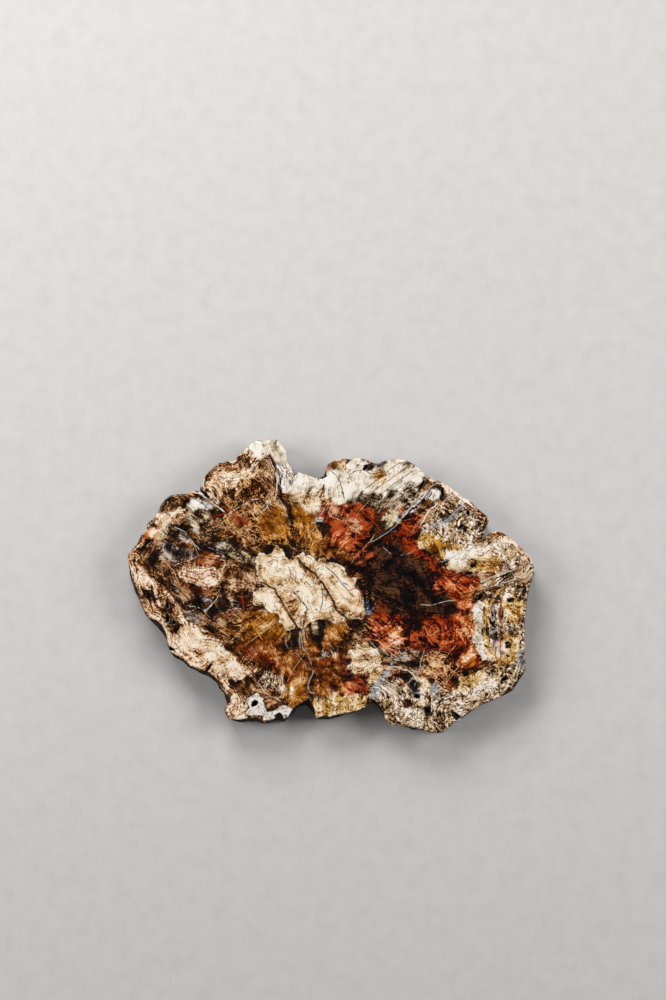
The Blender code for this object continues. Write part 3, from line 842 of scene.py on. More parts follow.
class Graph:
    """A material's nodes, written as expressions."""

    def __init__(self, name: str) -> None:
        """Makes a material of this name with one Principled shader."""
        self.material = bpy.data.materials.new(name)
        self.material.use_nodes = True
        self.tree = self.material.node_tree
        self.shader = self.tree.nodes["Principled BSDF"]
        self.packs: dict[str, tuple[Value, Value, Value]] = {}

    def node(self, kind: str, settings: dict | None = None, inputs: dict | None = None,
             output: int | str = 0) -> Value:
        """Adds any node.

        Args:
            kind: The node's type, as Blender names it.
            settings: Its own settings by name.
            inputs: What its sockets take, by number or name.
            output: The number or name of the output wanted.

        Returns:
            That output.
        """
        made = self.tree.nodes.new(kind)
        for name, value in (settings or {}).items():
            setattr(made, name, value)
        for key, value in (inputs or {}).items():
            self.feed(made.inputs[key], value)
        return Value(self, made, output)

    def feed(self, socket: bpy.types.NodeSocket, value: object) -> None:
        """Links an output to a socket, or sets the socket to a constant.

        Args:
            socket: The socket that takes it.
            value: The output or the constant.
        """
        if isinstance(value, Value):
            self.tree.links.new(value.socket(), socket)
        else:
            socket.default_value = value

    def math(self, operation: str, *terms: Operand) -> Value:
        """One sum of numbers."""
        return self.node("ShaderNodeMath", {"operation": operation}, dict(enumerate(terms)))

    def vector(self, operation: str, first: object, second: object) -> Value:
        """One sum of vectors."""
        return self.node("ShaderNodeVectorMath", {"operation": operation}, {0: first, 1: second})

    def scaled(self, vector: Value, factor: float) -> Value:
        """A vector made longer by a factor."""
        inputs = {0: vector, "Scale": factor}
        return self.node("ShaderNodeVectorMath", {"operation": "SCALE"}, inputs)

    def length(self, vector: Value) -> Value:
        """How long a vector is."""
        return self.node("ShaderNodeVectorMath", {"operation": "LENGTH"}, {0: vector}, "Value")

    def join(self, x: Operand, y: Operand, z: Operand) -> Value:
        """A vector from its three numbers."""
        return self.node("ShaderNodeCombineXYZ", None, {0: x, 1: y, 2: z})

    def parts_of(self, vector: Value) -> tuple[Value, Value, Value]:
        """A vector's three numbers."""
        made = self.node("ShaderNodeSeparateXYZ", None, {0: vector}).node
        return tuple(Value(self, made, number) for number in range(3))

    def mix(self, share: Operand, first: object, second: object, blend: str = "MIX") -> Value:
        """Mixes two colours.

        Args:
            share: How much of the second is taken.
            first: The colour underneath.
            second: The colour laid over it.
            blend: How the second acts on the first.

        Returns:
            The mixed colour.
        """
        settings = {"data_type": "RGBA", "blend_type": blend}
        return self.node("ShaderNodeMix", settings, {0: share, 6: first, 7: second}, 2)

    def place(self, unit: float = MM) -> Value:
        """The place on the piece, in mm or another unit."""
        return self.scaled(self.node("ShaderNodeTexCoord", None, None, "Object"), 1.0 / unit)

    def noise(self, at: Value, scale: float, detail: float = 2.0, rough: float = 0.6,
              output: int = 0) -> Value:
        """Smooth noise with this many features to the unit."""
        inputs = {"Vector": at, "Scale": scale, "Detail": detail, "Roughness": rough}
        return self.node("ShaderNodeTexNoise", None, inputs, output)

    def cells(self, at: Value, scale: float = 1.0, wild: float = 1.0, feature: str = "F1",
              output: str = "Color") -> Value:
        """A pattern of cells with this many to the unit, square at wild 0 and of any shape at 1."""
        inputs = {"Vector": at, "Scale": scale, "Randomness": wild}
        return self.node("ShaderNodeTexVoronoi", {"feature": feature}, inputs, output)

    def tiles(self, at: Value, scale: float = 1.0, wild: float = 1.0) -> Value:
        """Cells that each have one random tone from -1 to 1."""
        return self.parts_of(self.cells(at, scale, wild))[0].both_ways()

    def joints(self, at: Value, wild: float, thin: float = 0.02, thick: float = 0.10) -> Value:
        """Lines between cells: 1 closer to the edge than thin, 0 beyond thick."""
        gap = self.cells(at, wild=wild, feature="DISTANCE_TO_EDGE", output="Distance")
        return 1.0 - gap.rise(thin, thick)

    def attribute(self, name: str) -> Value:
        """A named vector attribute of the piece."""
        return self.node("ShaderNodeAttribute", {"attribute_name": name}, None, "Vector")

    def field(self, name: str) -> Value:
        """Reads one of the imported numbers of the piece.

        Args:
            name: The number's name.

        Returns:
            The number at each point.
        """
        number = field_names().index(name)
        pack = pack_name(number)
        if pack not in self.packs:
            self.packs[pack] = self.parts_of(self.attribute(pack))
        return self.packs[pack][number % PACK]

    def ramp(self, tone: Value, colours: str) -> Value:
        """Colours evenly along a tone.

        Args:
            tone: 0 for the first colour, 1 for the last.
            colours: Screen colours as hexadecimal digits, parted by spaces.

        Returns:
            The colour for the tone.
        """
        made = self.node("ShaderNodeValToRGB", None, {0: tone})
        stops = made.node.color_ramp.elements
        codes = colours.split()
        for place in range(1, len(codes) - 1):
            stops.new(place / (len(codes) - 1))
        for stop, code in zip(stops, codes):
            stop.color = hex_colour(code)
        return made

    def bump(self, strength: float, depth: float, height: Value) -> Value:
        """A low relief: how much of it counts, its depth in metres and its height at each point."""
        inputs = {"Strength": strength, "Distance": depth, "Height": height}
        return self.node("ShaderNodeBump", None, inputs)

    def set(self, **inputs: object) -> None:
        """Feeds the shader's sockets, named with underscores for spaces."""
        for name, value in inputs.items():
            self.feed(self.shader.inputs[name.replace("_", " ")], value)


def searchable(points: list[Vector]) -> KDTree:
    """Sorts points so that the nearest one to a place is found fast.

    Args:
        points: The points.

    Returns:
        The tree that is asked for the nearest one.
    """
    tree = KDTree(len(points))
    for number, point in enumerate(points):
        tree.insert(point, number)
    tree.balance()
    return tree


def layer_name(number: int) -> str:
    """The name of a layer's depth inside its patches."""
    return f"{LAYERS[number].kind.name.lower()}_{number}"


def across_name(thread: Thread) -> str:
    """The name of the distance across a filling's nearest vein."""
    return f"{thread.name.lower()}_across"


def near_name(thread: Thread) -> str:
    """The name of how near a filling's nearest vein is."""
    return f"{thread.name.lower()}_near"


def field_names() -> list[str]:
    """Lists the numbers that are kept for every point.

    Returns:
        Their names, in the order in which they are packed.
    """
    names = [layer_name(number) for number in range(len(LAYERS))]
    for thread in Thread:
        names += [across_name(thread), near_name(thread)]
    names.append("light")
    return names + ["spare"] * (-len(names) % PACK)


def pack_name(number: int) -> str:
    """The attribute that holds the field of this number and its two neighbours."""
    return f"figure_{number // PACK}"


@dataclass
class FaceMap:
    """Where the figure lies on the piece: distances, in mm, that the materials read as attributes.

    vein_reach is how far from a vein its nearness falls to 0, widest how many of its widths the distance
    across it goes on counting, and far more than any distance on the face. at_rim is what the way out
    from the heart counts at the rim, and shortest keeps a length that is divided by above 0.
    """

    mesh: bpy.types.Mesh
    rim: list[Vector]
    vein_reach: float = 2.4
    widest: float = 4.0
    far: float = 99.0
    at_rim: float = 100.0
    shortest: float = 1e-6

    def __post_init__(self) -> None:
        """Finds every point of the mesh in the photograph's pixels."""
        points = np.empty(len(self.mesh.vertices) * 3, np.float32)
        self.mesh.vertices.foreach_get("co", points)
        points = points.reshape(-1, 3)
        low, high = np.min(self.rim, axis=0), np.max(self.rim, axis=0)
        across = np.interp(points[:, 0], (low[0], high[0]), PHOTO_SPAN_X)
        down = np.interp(-points[:, 1], (-high[1], -low[1]), PHOTO_SPAN_Y)
        self.places: Places = np.stack([across, down], axis=1)

    def edge_distances(self, corners: Corners, closed: bool) -> tuple[np.ndarray, np.ndarray]:
        """Measures from every point to a line of pixels.

        Args:
            corners: The line's corners.
            closed: Whether the last corner joins the first.

        Returns:
            The distance to the nearest stretch, and on which side of it the point lies.
        """
        nearest = np.full(len(self.places), np.inf)
        side = np.ones(len(self.places))
        ends = corners[1:] + corners[:1] if closed else corners[1:]
        for start, end in zip(np.array(corners), np.array(ends)):
            along = end - start
            away = self.places - start
            share = np.clip(away @ along / (along @ along), 0.0, 1.0)
            gap = np.linalg.norm(away - share[:, None] * along, axis=1)
            closer = gap < nearest
            nearest = np.where(closer, gap, nearest)
            cross = along[0] * away[:, 1] - along[1] * away[:, 0]
            side = np.where(closer, np.sign(cross), side)
        return nearest, side

    def depth_inside(self, corners: Corners) -> np.ndarray:
        """Measures how far each point lies inside a patch.

        Args:
            corners: The patch's corners.

        Returns:
            The distance to its edge, below 0 outside it.
        """
        nearest, _ = self.edge_distances(corners, closed=True)
        x, y = self.places.T
        inside = np.zeros(len(x), bool)
        for (x0, y0), (x1, y1) in zip(corners, corners[1:] + corners[:1]):
            if y0 == y1:
                continue
            meets = (y0 > y) != (y1 > y)
            inside ^= meets & (x < x0 + (y - y0) / (y1 - y0) * (x1 - x0))
        return np.where(inside, nearest, -nearest)

    def store(self, name: str, vectors: np.ndarray) -> None:
        """Keeps a vector for every point under a name."""
        made = self.mesh.attributes.new(name, "FLOAT_VECTOR", "POINT")
        made.data.foreach_set("vector", vectors.astype(np.float32).ravel())

    def layer_depths(self) -> Fields:
        """Measures the depth inside each layer's patches.

        Returns:
            The depths by the layer's name.
        """
        found = {}
        for number, layer in enumerate(LAYERS):
            depths = [self.depth_inside(corners) for corners in layer.corners()]
            found[layer_name(number)] = np.max(depths, axis=0)
        return found

    def vein_distances(self) -> Fields:
        """Measures to the veins of each filling.

        Returns:
            The signed distance across the nearest vein, in its widths, and how near it is, from 0 to 1.
        """
        found = {}
        for thread in Thread:
            best = np.full(len(self.places), self.far)
            signed = np.full(len(self.places), self.far)
            for vein in veins_of(thread):
                gap, side = self.edge_distances(vein.line, closed=False)
                relative = gap - vein.width / 2
                closer = relative < best
                best = np.where(closer, relative, best)
                signed = np.where(closer, gap * side * (1.0 / vein.width), signed)
            found[across_name(thread)] = np.clip(signed, -self.widest, self.widest)
            found[near_name(thread)] = np.clip(1.0 - best / self.vein_reach, 0.0, 1.0)
        return found

    def grain(self) -> np.ndarray:
        """Finds the way out from the heart.

        Returns:
            The bearing as a unit vector, and a number from 0 at the heart to at_rim at the rim.
        """
        out = self.places - np.array(HEART_CENTRE)
        bearing = out / np.maximum(np.linalg.norm(out, axis=1), self.shortest)[:, None]
        heart = -self.depth_inside(path(HEART))
        near = searchable(self.rim)
        rim = np.array([near.find(vertex.co)[2] for vertex in self.mesh.vertices]) / MM
        return np.column_stack([bearing, self.at_rim * heart / (np.abs(heart) + rim + 1.0)])

    def light(self) -> np.ndarray:
        """Adds up the soft lights and darks.

        Returns:
            Their sum at each point.
        """
        total = np.zeros(len(self.places))
        for glow in GLOWS:
            gap = np.linalg.norm(self.places - np.array(glow.at), axis=1)
            total += glow.strength * np.exp(-((gap / glow.radius) ** 2))
        return total

    def build(self) -> None:
        """Stores everything that the materials read, a few numbers to an attribute."""
        found = {**self.layer_depths(), **self.vein_distances(), "light": self.light()}
        columns = [found.get(name, np.zeros(len(self.places))) for name in field_names()]
        for number in range(0, len(columns), PACK):
            self.store(pack_name(number), np.column_stack(columns[number : number + PACK]))
        self.store("grain", self.grain())


class Figure:
    """The stone's colour pattern: patterns shared by all kinds of stone, and the layers that use them.

    Lengths are in mm. contrast is how strongly every pattern moves the tone, against the weights written
    in the kinds of stone, and middle_tone the tone where all of them are at their mean.
    """

    contrast = 1.15
    middle_tone = 0.455
    tints = "c8bcae fff8ee ffe8cc ffa468"
    tint_share = 0.55
    richness = 1.05
    seam_colour = hex_colour("1c0c05")
    vein_edge_colour = hex_colour("140804")
    vein_edge_share = 0.3
    vein_wander = 0.25
    thinnest_vein = 0.35
    vein_swell = 1.5

    def __init__(self, graph: Graph) -> None:
        """Lays out the patterns that every kind of stone mixes."""
        self.graph = graph
        self.place = graph.place()
        east, north, self.ring = graph.parts_of(graph.attribute("grain"))
        self.lump = graph.noise(self.place, scale=0.07, rough=0.5)
        self.sway = graph.noise(self.place, scale=0.06, rough=0.5, output=THREE_NOISES)
        self.swayed = graph.vector("ADD", self.place, graph.scaled(self.sway, 16.0))
        shift = graph.noise(self.place, scale=0.03, detail=1.0, rough=0.5, output=THREE_NOISES)
        self.turn, tilt, _ = graph.parts_of(shift)
        self.east = east + self.turn.swing(0.25)
        self.north = north + tilt.swing(0.25)
        self.gate = graph.noise(self.swayed, scale=0.06, detail=1.0, rough=0.5)
        self.parts = {
            "grit": graph.noise(self.place, scale=0.80, rough=0.75).swing(3.4),
            "lump": self.lump.swing(2.8),
            "specks": 0.0 - graph.noise(self.place, scale=0.42, rough=0.7).rise(0.56, 0.66),
            **self.ray_parts(),
            **self.ring_parts(),
            **self.tile_parts(),
            **self.thread_parts(),
        }
        self.broken = graph.noise(self.place, scale=0.22).rise(0.38, 0.54)
        self.swell = self.thinnest_vein + self.vein_swell * graph.noise(self.place, scale=0.16)
        self.light = graph.field("light")
        self.wander = graph.noise(self.place, scale=0.14, detail=3.0, rough=0.55).swing(9.0)
        self.tint = graph.ramp(graph.noise(self.swayed, scale=0.06, detail=3.0), self.tints)

    def drawn_out(self, ring: Value, around: float, outward: float, rough: float = 0.5) -> Value:
        """Noise in the rays' own space: this many features around the heart and to a step outward."""
        at = self.graph.join(around * self.east, around * self.north, outward * ring)
        return self.graph.noise(at, scale=1.0, detail=1.0, rough=rough)

    def ray_parts(self) -> dict[str, Value]:
        """Lays out what runs from the heart to the rim, and how far patches run out along it.

        Returns:
            The patterns by the name of their weight.
        """
        fan = self.drawn_out(self.ring, around=12.0, outward=0.03)
        near = self.drawn_out(self.ring, around=30.0, outward=0.05, rough=0.4)
        far = self.drawn_out(self.ring, around=60.0, outward=0.05, rough=0.4)
        ray = near + (far - near) * self.ring.rise(30.0, 50.0)
        self.comb = fan.swing(6.0) + ray.swing(2.0)
        lines = ray.contour(level=0.5, width=0.09) - ray.contour(level=0.61, width=0.08)
        return {"fans": fan.swing(2.4), "ray_lines": lines * self.gate.rise(0.38, 0.50)}

    def ring_parts(self) -> dict[str, Value]:
        """Lays out what runs round the heart.

        Returns:
            The patterns by the name of their weight.
        """
        ring = self.ring + 5.0 * self.lump
        band = self.drawn_out(ring, around=3.0, outward=0.14)
        fine = self.drawn_out(ring, around=4.0, outward=0.34)
        lines = fine.contour(level=0.5, width=0.09) - fine.contour(level=0.60, width=0.08)
        return {"rings": band.swing(2.4), "ring_lines": lines}

    def tile_parts(self) -> dict[str, Value]:
        """Lays out the tiles along the rays, the slanting plates and the round cells.

        Returns:
            The patterns by the name of their weight.
        """
        graph = self.graph
        around = 14.0 * graph.math("ARCTAN2", self.north, self.east) + self.lump.swing(3.0)
        panes_at = graph.join(around, 0.16 * self.ring + self.turn.swing(3.0), 0.0)
        x, y, _ = graph.parts_of(self.place)
        rising = 0.11 * (x + y) + self.lump.swing(1.2)
        plates_at = graph.join(rising, 0.075 * (x - y) + self.turn.swing(1.2), 0.0)
        cells_at = graph.vector("ADD", self.swayed, graph.scaled(self.sway, 10.0))
        return {
            "panes": graph.tiles(panes_at, wild=0.6),
            "bars": graph.joints(panes_at, wild=0.6),
            "plates": graph.tiles(plates_at, wild=0.75),
            "net": graph.joints(plates_at, wild=0.75),
            "cells": graph.tiles(cells_at, scale=0.34),
        }

    def thread_parts(self) -> dict[str, Value]:
        """Lays out the thin lines that wander.

        Returns:
            The patterns by the name of their weight.
        """
        graph = self.graph
        elsewhere = graph.vector("ADD", self.swayed, (40.0, 7.0, 3.0))
        wisp = graph.noise(elsewhere, scale=0.08, detail=3.0)
        hair = graph.noise(self.swayed, scale=0.07, detail=3.0)
        worm = graph.noise(self.swayed, scale=0.26, detail=1.5)
        return {
            "worms": 0.5 * worm.contour(level=0.56, width=0.05) - worm.contour(level=0.47, width=0.05),
            "wisps": wisp.contour(level=0.5, width=0.016) * self.gate.rise(0.40, 0.54),
            "hairs": 0.5 * hair.contour(level=0.528, width=0.016) - hair.contour(level=0.5, width=0.014),
        }

    def tone(self, stone: Stone, depth: Value | None = None) -> Value:
        """How light a kind of stone is at each point, from 0 to 1.

        Args:
            stone: The kind of stone.
            depth: How deep a point lies in its patch, for stone that is banded along its edge.

        Returns:
            The tone.
        """
        total = self.middle_tone + stone.lift + self.light
        for name, part in self.parts.items():
            weight = getattr(stone, name)
            if weight:
                total = total + self.contrast * weight * part
        if stone.bands and depth:
            turn = (depth + 5.0 * self.lump) * (2.0 * math.pi / stone.band_step)
            total = total + stone.bands * self.graph.math("SINE", turn)
        return total

    def colour(self) -> Value:
        """Lays every layer over the ones before it, then the veins.

        Returns:
            The whole figure's colour.
        """
        graph = self.graph
        base = Kind.UMBER.value
        shown = graph.ramp(self.tone(base), base.colours)
        for number, layer in enumerate(LAYERS):
            stone = layer.kind.value
            depth = graph.field(layer_name(number))
            edge = depth + layer.ragged * self.wander
            if layer.comb:
                edge = edge + layer.comb * self.comb
            here = graph.ramp(self.tone(stone, depth), stone.colours)
            if layer.seam:
                line = edge.contour(level=-0.4, width=1.1)
                shown = graph.mix(layer.seam * line, shown, self.seam_colour)
            shown = graph.mix(edge.rise(-layer.soft, layer.soft), shown, here)
        shown = self.veined(graph.mix(self.tint_share, shown, self.tint, "MULTIPLY"))
        inputs = {"Saturation": self.richness, "Color": shown}
        return graph.node("ShaderNodeHueSaturation", None, inputs)

    def veined(self, shown: Value) -> Value:
        """Lays the veins and open cracks over the figure.

        Args:
            shown: The figure's colour without them.

        Returns:
            Its colour with them.
        """
        graph = self.graph
        for thread in Thread:
            filling = thread.value
            across = abs(graph.field(across_name(thread)) + self.vein_wander * self.wander) * self.swell
            near = graph.field(near_name(thread)).rise(0.3, 0.6)
            kept = filling.kept + (1.0 - filling.kept) * self.broken
            if filling.edged:
                edge = self.vein_edge_share * across.contour(level=0.75, width=0.30)
                shown = graph.mix(edge * near * kept, shown, self.vein_edge_colour)
            line = (1.0 - across.rise(0.15, 0.50)) * near * kept
            shown = graph.mix(line, shown, hex_colour(filling.colour))
        return shown


@dataclass(frozen=True)
class PolishedFace:
    """The figured face under its polish: a little duller and lower along pits and hairlines."""

    roughness: float = 0.12
    smeared: float = 0.10
    dulled: float = 0.22
    specular: float = 0.3
    coat: float = 0.12
    coat_roughness: float = 0.05
    relief: float = 0.12 * MM
    relief_strength: float = 0.25

    def build(self) -> bpy.types.Material:
        """Makes the material.

        Returns:
            The material.
        """
        graph = Graph("polished_petrified_wood")
        figure = Figure(graph)
        smear = graph.noise(figure.place, scale=0.035, detail=3.0, rough=0.55).rise(0.35, 0.65)
        pitted = 0.0 - figure.parts["hairs"] - figure.parts["specks"] - figure.parts["worms"]
        dull = pitted.rise(0.2, 1.2)
        height = 0.0 - dull + 0.15 * figure.parts["grit"]
        graph.set(Base_Color=figure.colour(),
                  Roughness=self.roughness + self.smeared * smear + self.dulled * dull,
                  Specular_IOR_Level=self.specular,
                  Coat_Weight=self.coat,
                  Coat_Roughness=self.coat_roughness,
                  Normal=graph.bump(self.relief_strength, self.relief, height))
        return graph.material


@dataclass(frozen=True)
class WeatheredRim:
    """The log's outside: dark, rough stone with pale mineral showing on its high places."""

    colours: str = "040201 1a0e08 3a2618 806248 c0a080"
    upright: tuple[float, float, float] = (1.0, 1.0, 0.3)
    roughness: float = 0.95
    worn: float = 0.3
    specular: float = 0.2
    relief: float = 1.4 * MM
    relief_strength: float = 0.9

    def build(self) -> bpy.types.Material:
        """Makes the material.

        Returns:
            The material.
        """
        graph = Graph("weathered_log_rim")
        place = graph.place()
        coarse = graph.noise(place, scale=0.10, detail=4.0)
        drawn_out = graph.vector("MULTIPLY", place, self.upright)
        ridges = graph.noise(drawn_out, scale=0.45, detail=4.0, rough=0.65)
        fine = graph.noise(place, scale=1.1, detail=3.0, rough=0.7)
        tone = coarse * 0.8 + ridges * 0.9 + fine * 0.4 - 0.68
        graph.set(Base_Color=graph.ramp(tone, self.colours), Roughness=self.roughness - self.worn * coarse,
                  Specular_IOR_Level=self.specular,
                  Normal=graph.bump(self.relief_strength, self.relief, 0.7 * ridges + 0.3 * fine))
        return graph.material


@dataclass(frozen=True)
class SawnBack:
    """The unpolished back, cut flat by the saw: the face's zones in dull colours under fine saw marks.

    heart is where the zones start and saw where the blade's centre stood, both as steps from there to
    the piece's own origin, in mm. squeeze turns mm into shares of the zones' width.
    """

    zones: str = "c8b89c a89270 4a3526 5a3626 7a4c36 a8886a b8a286"
    dust: str = "8c7862"
    scratched: str = "d8ccb8"
    heart: tuple[float, float, float] = (23.0, 4.0, 0.0)
    squeeze: tuple[float, float, float] = (0.0056, 0.0080, 0.0)
    saw: tuple[float, float, float] = (900.0, -300.0, 0.0)
    marks_per_mm: float = 2.6
    roughness: float = 0.62
    relief: float = 0.2 * MM
    relief_strength: float = 0.4

    def build(self) -> bpy.types.Material:
        """Makes the material.

        Returns:
            The material.
        """
        graph = Graph("sawn_petrified_wood")
        place = graph.place()
        squeezed = graph.vector("MULTIPLY", graph.vector("ADD", place, self.heart), self.squeeze)
        patchy = graph.noise(place, scale=0.035, detail=5.0)
        fine = graph.noise(place, scale=0.9, detail=3.0, rough=0.7)
        shown = graph.ramp(graph.length(squeezed) + patchy.swing(0.9), self.zones)
        shown = graph.mix(0.8 * fine.rise(0.45, 0.75), shown, hex_colour(self.dust))
        arc = graph.length(graph.vector("ADD", place, self.saw))
        marks = graph.math("SINE", self.marks_per_mm * arc + 4.0 * patchy)
        shown = graph.mix(0.10 + 0.08 * marks, shown, hex_colour(self.scratched))
        graph.set(Base_Color=shown, Roughness=self.roughness + 0.25 * fine,
                  Normal=graph.bump(self.relief_strength, self.relief, 0.3 * marks + fine))
        return graph.material


class Side(Enum):
    """The sides of the slice, each with its finish."""

    FACE = PolishedFace()
    WALL = WeatheredRim()
    BACK = SawnBack()

    def number(self) -> int:
        """The place of this side's material on the piece."""
        return list(Side).index(self)


@dataclass(frozen=True)
class Relief:
    """Lumps that stand out of the bark: how wide and how high they are, in metres."""

    name: str
    width: float
    height: float


@dataclass
class Slice:
    """The slice as one closed mesh: a fine face for the figure, the log's rim and the sawn back.

    Lengths are in metres. cell is the width of the fine face's grid, which ends rim_clearance before the
    rim. A polygon within level_gap of the top or the bottom, and turned at least level_normal of the way
    to it, belongs to the face or the back. Points closer than doubled or same_point are one point. The
    bark's relief keeps bark_margin from both rims, and bends below sharp are shaded round.
    """

    cell: float = 0.00125
    wall_cuts: int = 2
    rim_clearance: float = 0.00095
    level_gap: float = 1e-5
    level_normal: float = 0.99
    doubled: float = 1e-6
    same_point: float = 1e-8
    bark_margin: float = 1.2 * MM
    bark: tuple[Relief, ...] = (
        Relief("bark_lumps", width=6.0 * MM, height=1.3 * MM),
        Relief("bark_grain", width=2.2 * MM, height=0.6 * MM),
    )
    sharp: float = math.radians(40.0)

    def __post_init__(self) -> None:
        """Takes the face's height and reach from the CAD node."""
        self.low, self.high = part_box(NODE)
        self.top = self.high.z

    def copy_of_cad(self) -> bpy.types.Object:
        """Copies the CAD node and merges its doubled points.

        Returns:
            The copy.
        """
        bpy.ops.object.select_all(action="DESELECT")
        node = bpy.data.objects[NODE]
        piece = node.copy()
        piece.data = node.data.copy()
        piece.name = "figured_slice"
        bpy.context.collection.objects.link(piece)
        piece.select_set(True)
        bpy.context.view_layer.objects.active = piece
        bpy.ops.object.mode_set(mode="EDIT")
        bpy.ops.mesh.select_all(action="SELECT")
        bpy.ops.mesh.remove_doubles(threshold=self.doubled)
        bpy.ops.mesh.select_all(action="DESELECT")
        bpy.ops.object.mode_set(mode="OBJECT")
        return piece

    def open_face(self, piece: bpy.types.Object) -> None:
        """Takes the face off the copy and subdivides its wall for the bark's relief.

        Args:
            piece: The copy of the slice.
        """
        for polygon in piece.data.polygons:
            polygon.select = self.side_of(polygon) is Side.FACE
        bpy.ops.object.mode_set(mode="EDIT")
        bpy.ops.mesh.select_mode(type="FACE")
        bpy.ops.mesh.delete(type="FACE")
        bpy.ops.mesh.select_all(action="SELECT")
        bpy.ops.mesh.subdivide(number_cuts=self.wall_cuts)
        bpy.ops.object.mode_set(mode="OBJECT")

    def outer_rim(self, piece: bpy.types.Object) -> list[Vector]:
        """The points of the longest open line of the piece: the face's rim without its pits.

        Args:
            piece: The copy of the slice without its face.

        Returns:
            The points, in metres.
        """
        mesh = bmesh.new()
        mesh.from_mesh(piece.data)
        left = {vertex for edge in mesh.edges if edge.is_boundary for vertex in edge.verts}
        longest = []
        while left:
            line = [left.pop()]
            for vertex in line:
                for edge in vertex.link_edges:
                    other = edge.other_vert(vertex)
                    if edge.is_boundary and other in left:
                        left.remove(other)
                        line.append(other)
            longest = max(longest, line, key=len)
        points = [vertex.co.copy() for vertex in longest]
        mesh.free()
        return points

    def on_face(self, tree: BVHTree, x: float, y: float) -> bool:
        """Tests for the face at a place.

        Args:
            tree: The faces that are looked at.
            x: The place's first number, in metres.
            y: Its second one.

        Returns:
            Whether the highest of them there has the level of the face.
        """
        above = Vector((x, y, self.top + MM))
        hit = tree.ray_cast(above, Vector((0.0, 0.0, -1.0)))[0]
        return hit is not None and hit.z > self.top - self.level_gap

    def fine_face(self, rim: KDTree, outline: BVHTree) -> bpy.types.Object:
        """Makes a grid trimmed to the face, a little short of its rim and of its pits.

        Args:
            rim: The points of the rim and of the pits' mouths.
            outline: The slice as the CAD has it.

        Returns:
            The grid.
        """
        across = int((self.high.x - self.low.x) / self.cell)
        along = int((self.high.y - self.low.y) / self.cell)
        centre = (self.low + self.high) / 2
        bpy.ops.object.select_all(action="DESELECT")
        bpy.ops.mesh.primitive_grid_add(x_subdivisions=across, y_subdivisions=along, size=1.0,
                                        location=(centre.x, centre.y, self.top))
        grid = bpy.context.object
        grid.scale = (across * self.cell, along * self.cell, 1.0)
        bpy.ops.object.transform_apply(location=True, rotation=False, scale=True)
        bpy.ops.object.mode_set(mode="EDIT")
        bpy.ops.mesh.select_mode(type="VERT")
        bpy.ops.mesh.select_all(action="DESELECT")
        bpy.ops.object.mode_set(mode="OBJECT")
        for vertex in grid.data.vertices:
            at = vertex.co
            clear = rim.find(at)[2] > self.rim_clearance
            vertex.select = not (clear and self.on_face(outline, at.x, at.y))
        bpy.ops.object.mode_set(mode="EDIT")
        bpy.ops.mesh.delete(type="VERT")
        bpy.ops.mesh.select_all(action="SELECT")
        bpy.ops.mesh.delete_loose(use_verts=True, use_edges=True, use_faces=False)
        bpy.ops.object.mode_set(mode="OBJECT")
        return grid

    def close_band(self, piece: bpy.types.Object, outline: BVHTree) -> None:
        """Closes the band between the trimmed grid and the rim with triangles between their points.

        Args:
            piece: The slice joined with the grid.
            outline: The slice as the CAD has it.
        """
        mesh = bmesh.new()
        mesh.from_mesh(piece.data)
        covered = BVHTree.FromBMesh(mesh)
        open_edges = [edge for edge in mesh.edges if edge.is_boundary]
        corners = list(dict.fromkeys(vertex for edge in open_edges for vertex in edge.verts))
        numbers = {vertex: number for number, vertex in enumerate(corners)}
        edges = [tuple(numbers[vertex] for vertex in edge.verts) for edge in open_edges]
        flat = [vertex.co.xy for vertex in corners]
        triangles = delaunay_2d_cdt(flat, edges, [], 0, self.same_point)[2]
        for triangle in triangles:
            middle = sum((corners[i].co for i in triangle), Vector()) / 3
            here = self.on_face(outline, middle.x, middle.y)
            if here and not self.on_face(covered, middle.x, middle.y):
                mesh.faces.new([corners[i] for i in triangle])
        bmesh.ops.recalc_face_normals(mesh, faces=mesh.faces[:])
        faults = sum(1 for edge in mesh.edges if not edge.is_manifold)
        if faults:
            logging.warning("the slice has %d open edges", faults)
        mesh.to_mesh(piece.data)
        mesh.free()

    def roughen(self, piece: bpy.types.Object) -> None:
        """Raises the bark's relief on the wall below the polished rim.

        Args:
            piece: The closed slice.
        """
        group = piece.vertex_groups.new(name="bark")
        low, high = self.bark_margin, self.top - self.bark_margin
        wall = [vertex.index for vertex in piece.data.vertices if low < vertex.co.z < high]
        group.add(wall, 1.0, "REPLACE")
        for lumps in self.bark:
            texture = bpy.data.textures.new(lumps.name, "CLOUDS")
            texture.noise_scale = lumps.width
            relief = piece.modifiers.new(lumps.name, "DISPLACE")
            relief.texture = texture
            relief.texture_coords = "LOCAL"
            relief.vertex_group = group.name
            relief.strength = lumps.height
            bpy.ops.object.modifier_apply(modifier=lumps.name)

    def side_of(self, polygon: bpy.types.MeshPolygon) -> Side:
        """Tells which side of the slice a polygon belongs to.

        Args:
            polygon: The polygon.

        Returns:
            The side.
        """
        if polygon.normal.z > self.level_normal and polygon.center.z > self.top - self.level_gap:
            return Side.FACE
        if polygon.normal.z < -self.level_normal and polygon.center.z < self.level_gap:
            return Side.BACK
        return Side.WALL

    def dress(self, piece: bpy.types.Object) -> None:
        """Gives each side its material and rounds the wall's shading.

        Args:
            piece: The closed slice.
        """
        piece.data.materials.clear()
        for side in Side:
            piece.data.materials.append(side.value.build())
        for polygon in piece.data.polygons:
            polygon.material_index = self.side_of(polygon).number()
        bpy.ops.object.shade_smooth_by_angle(angle=self.sharp)

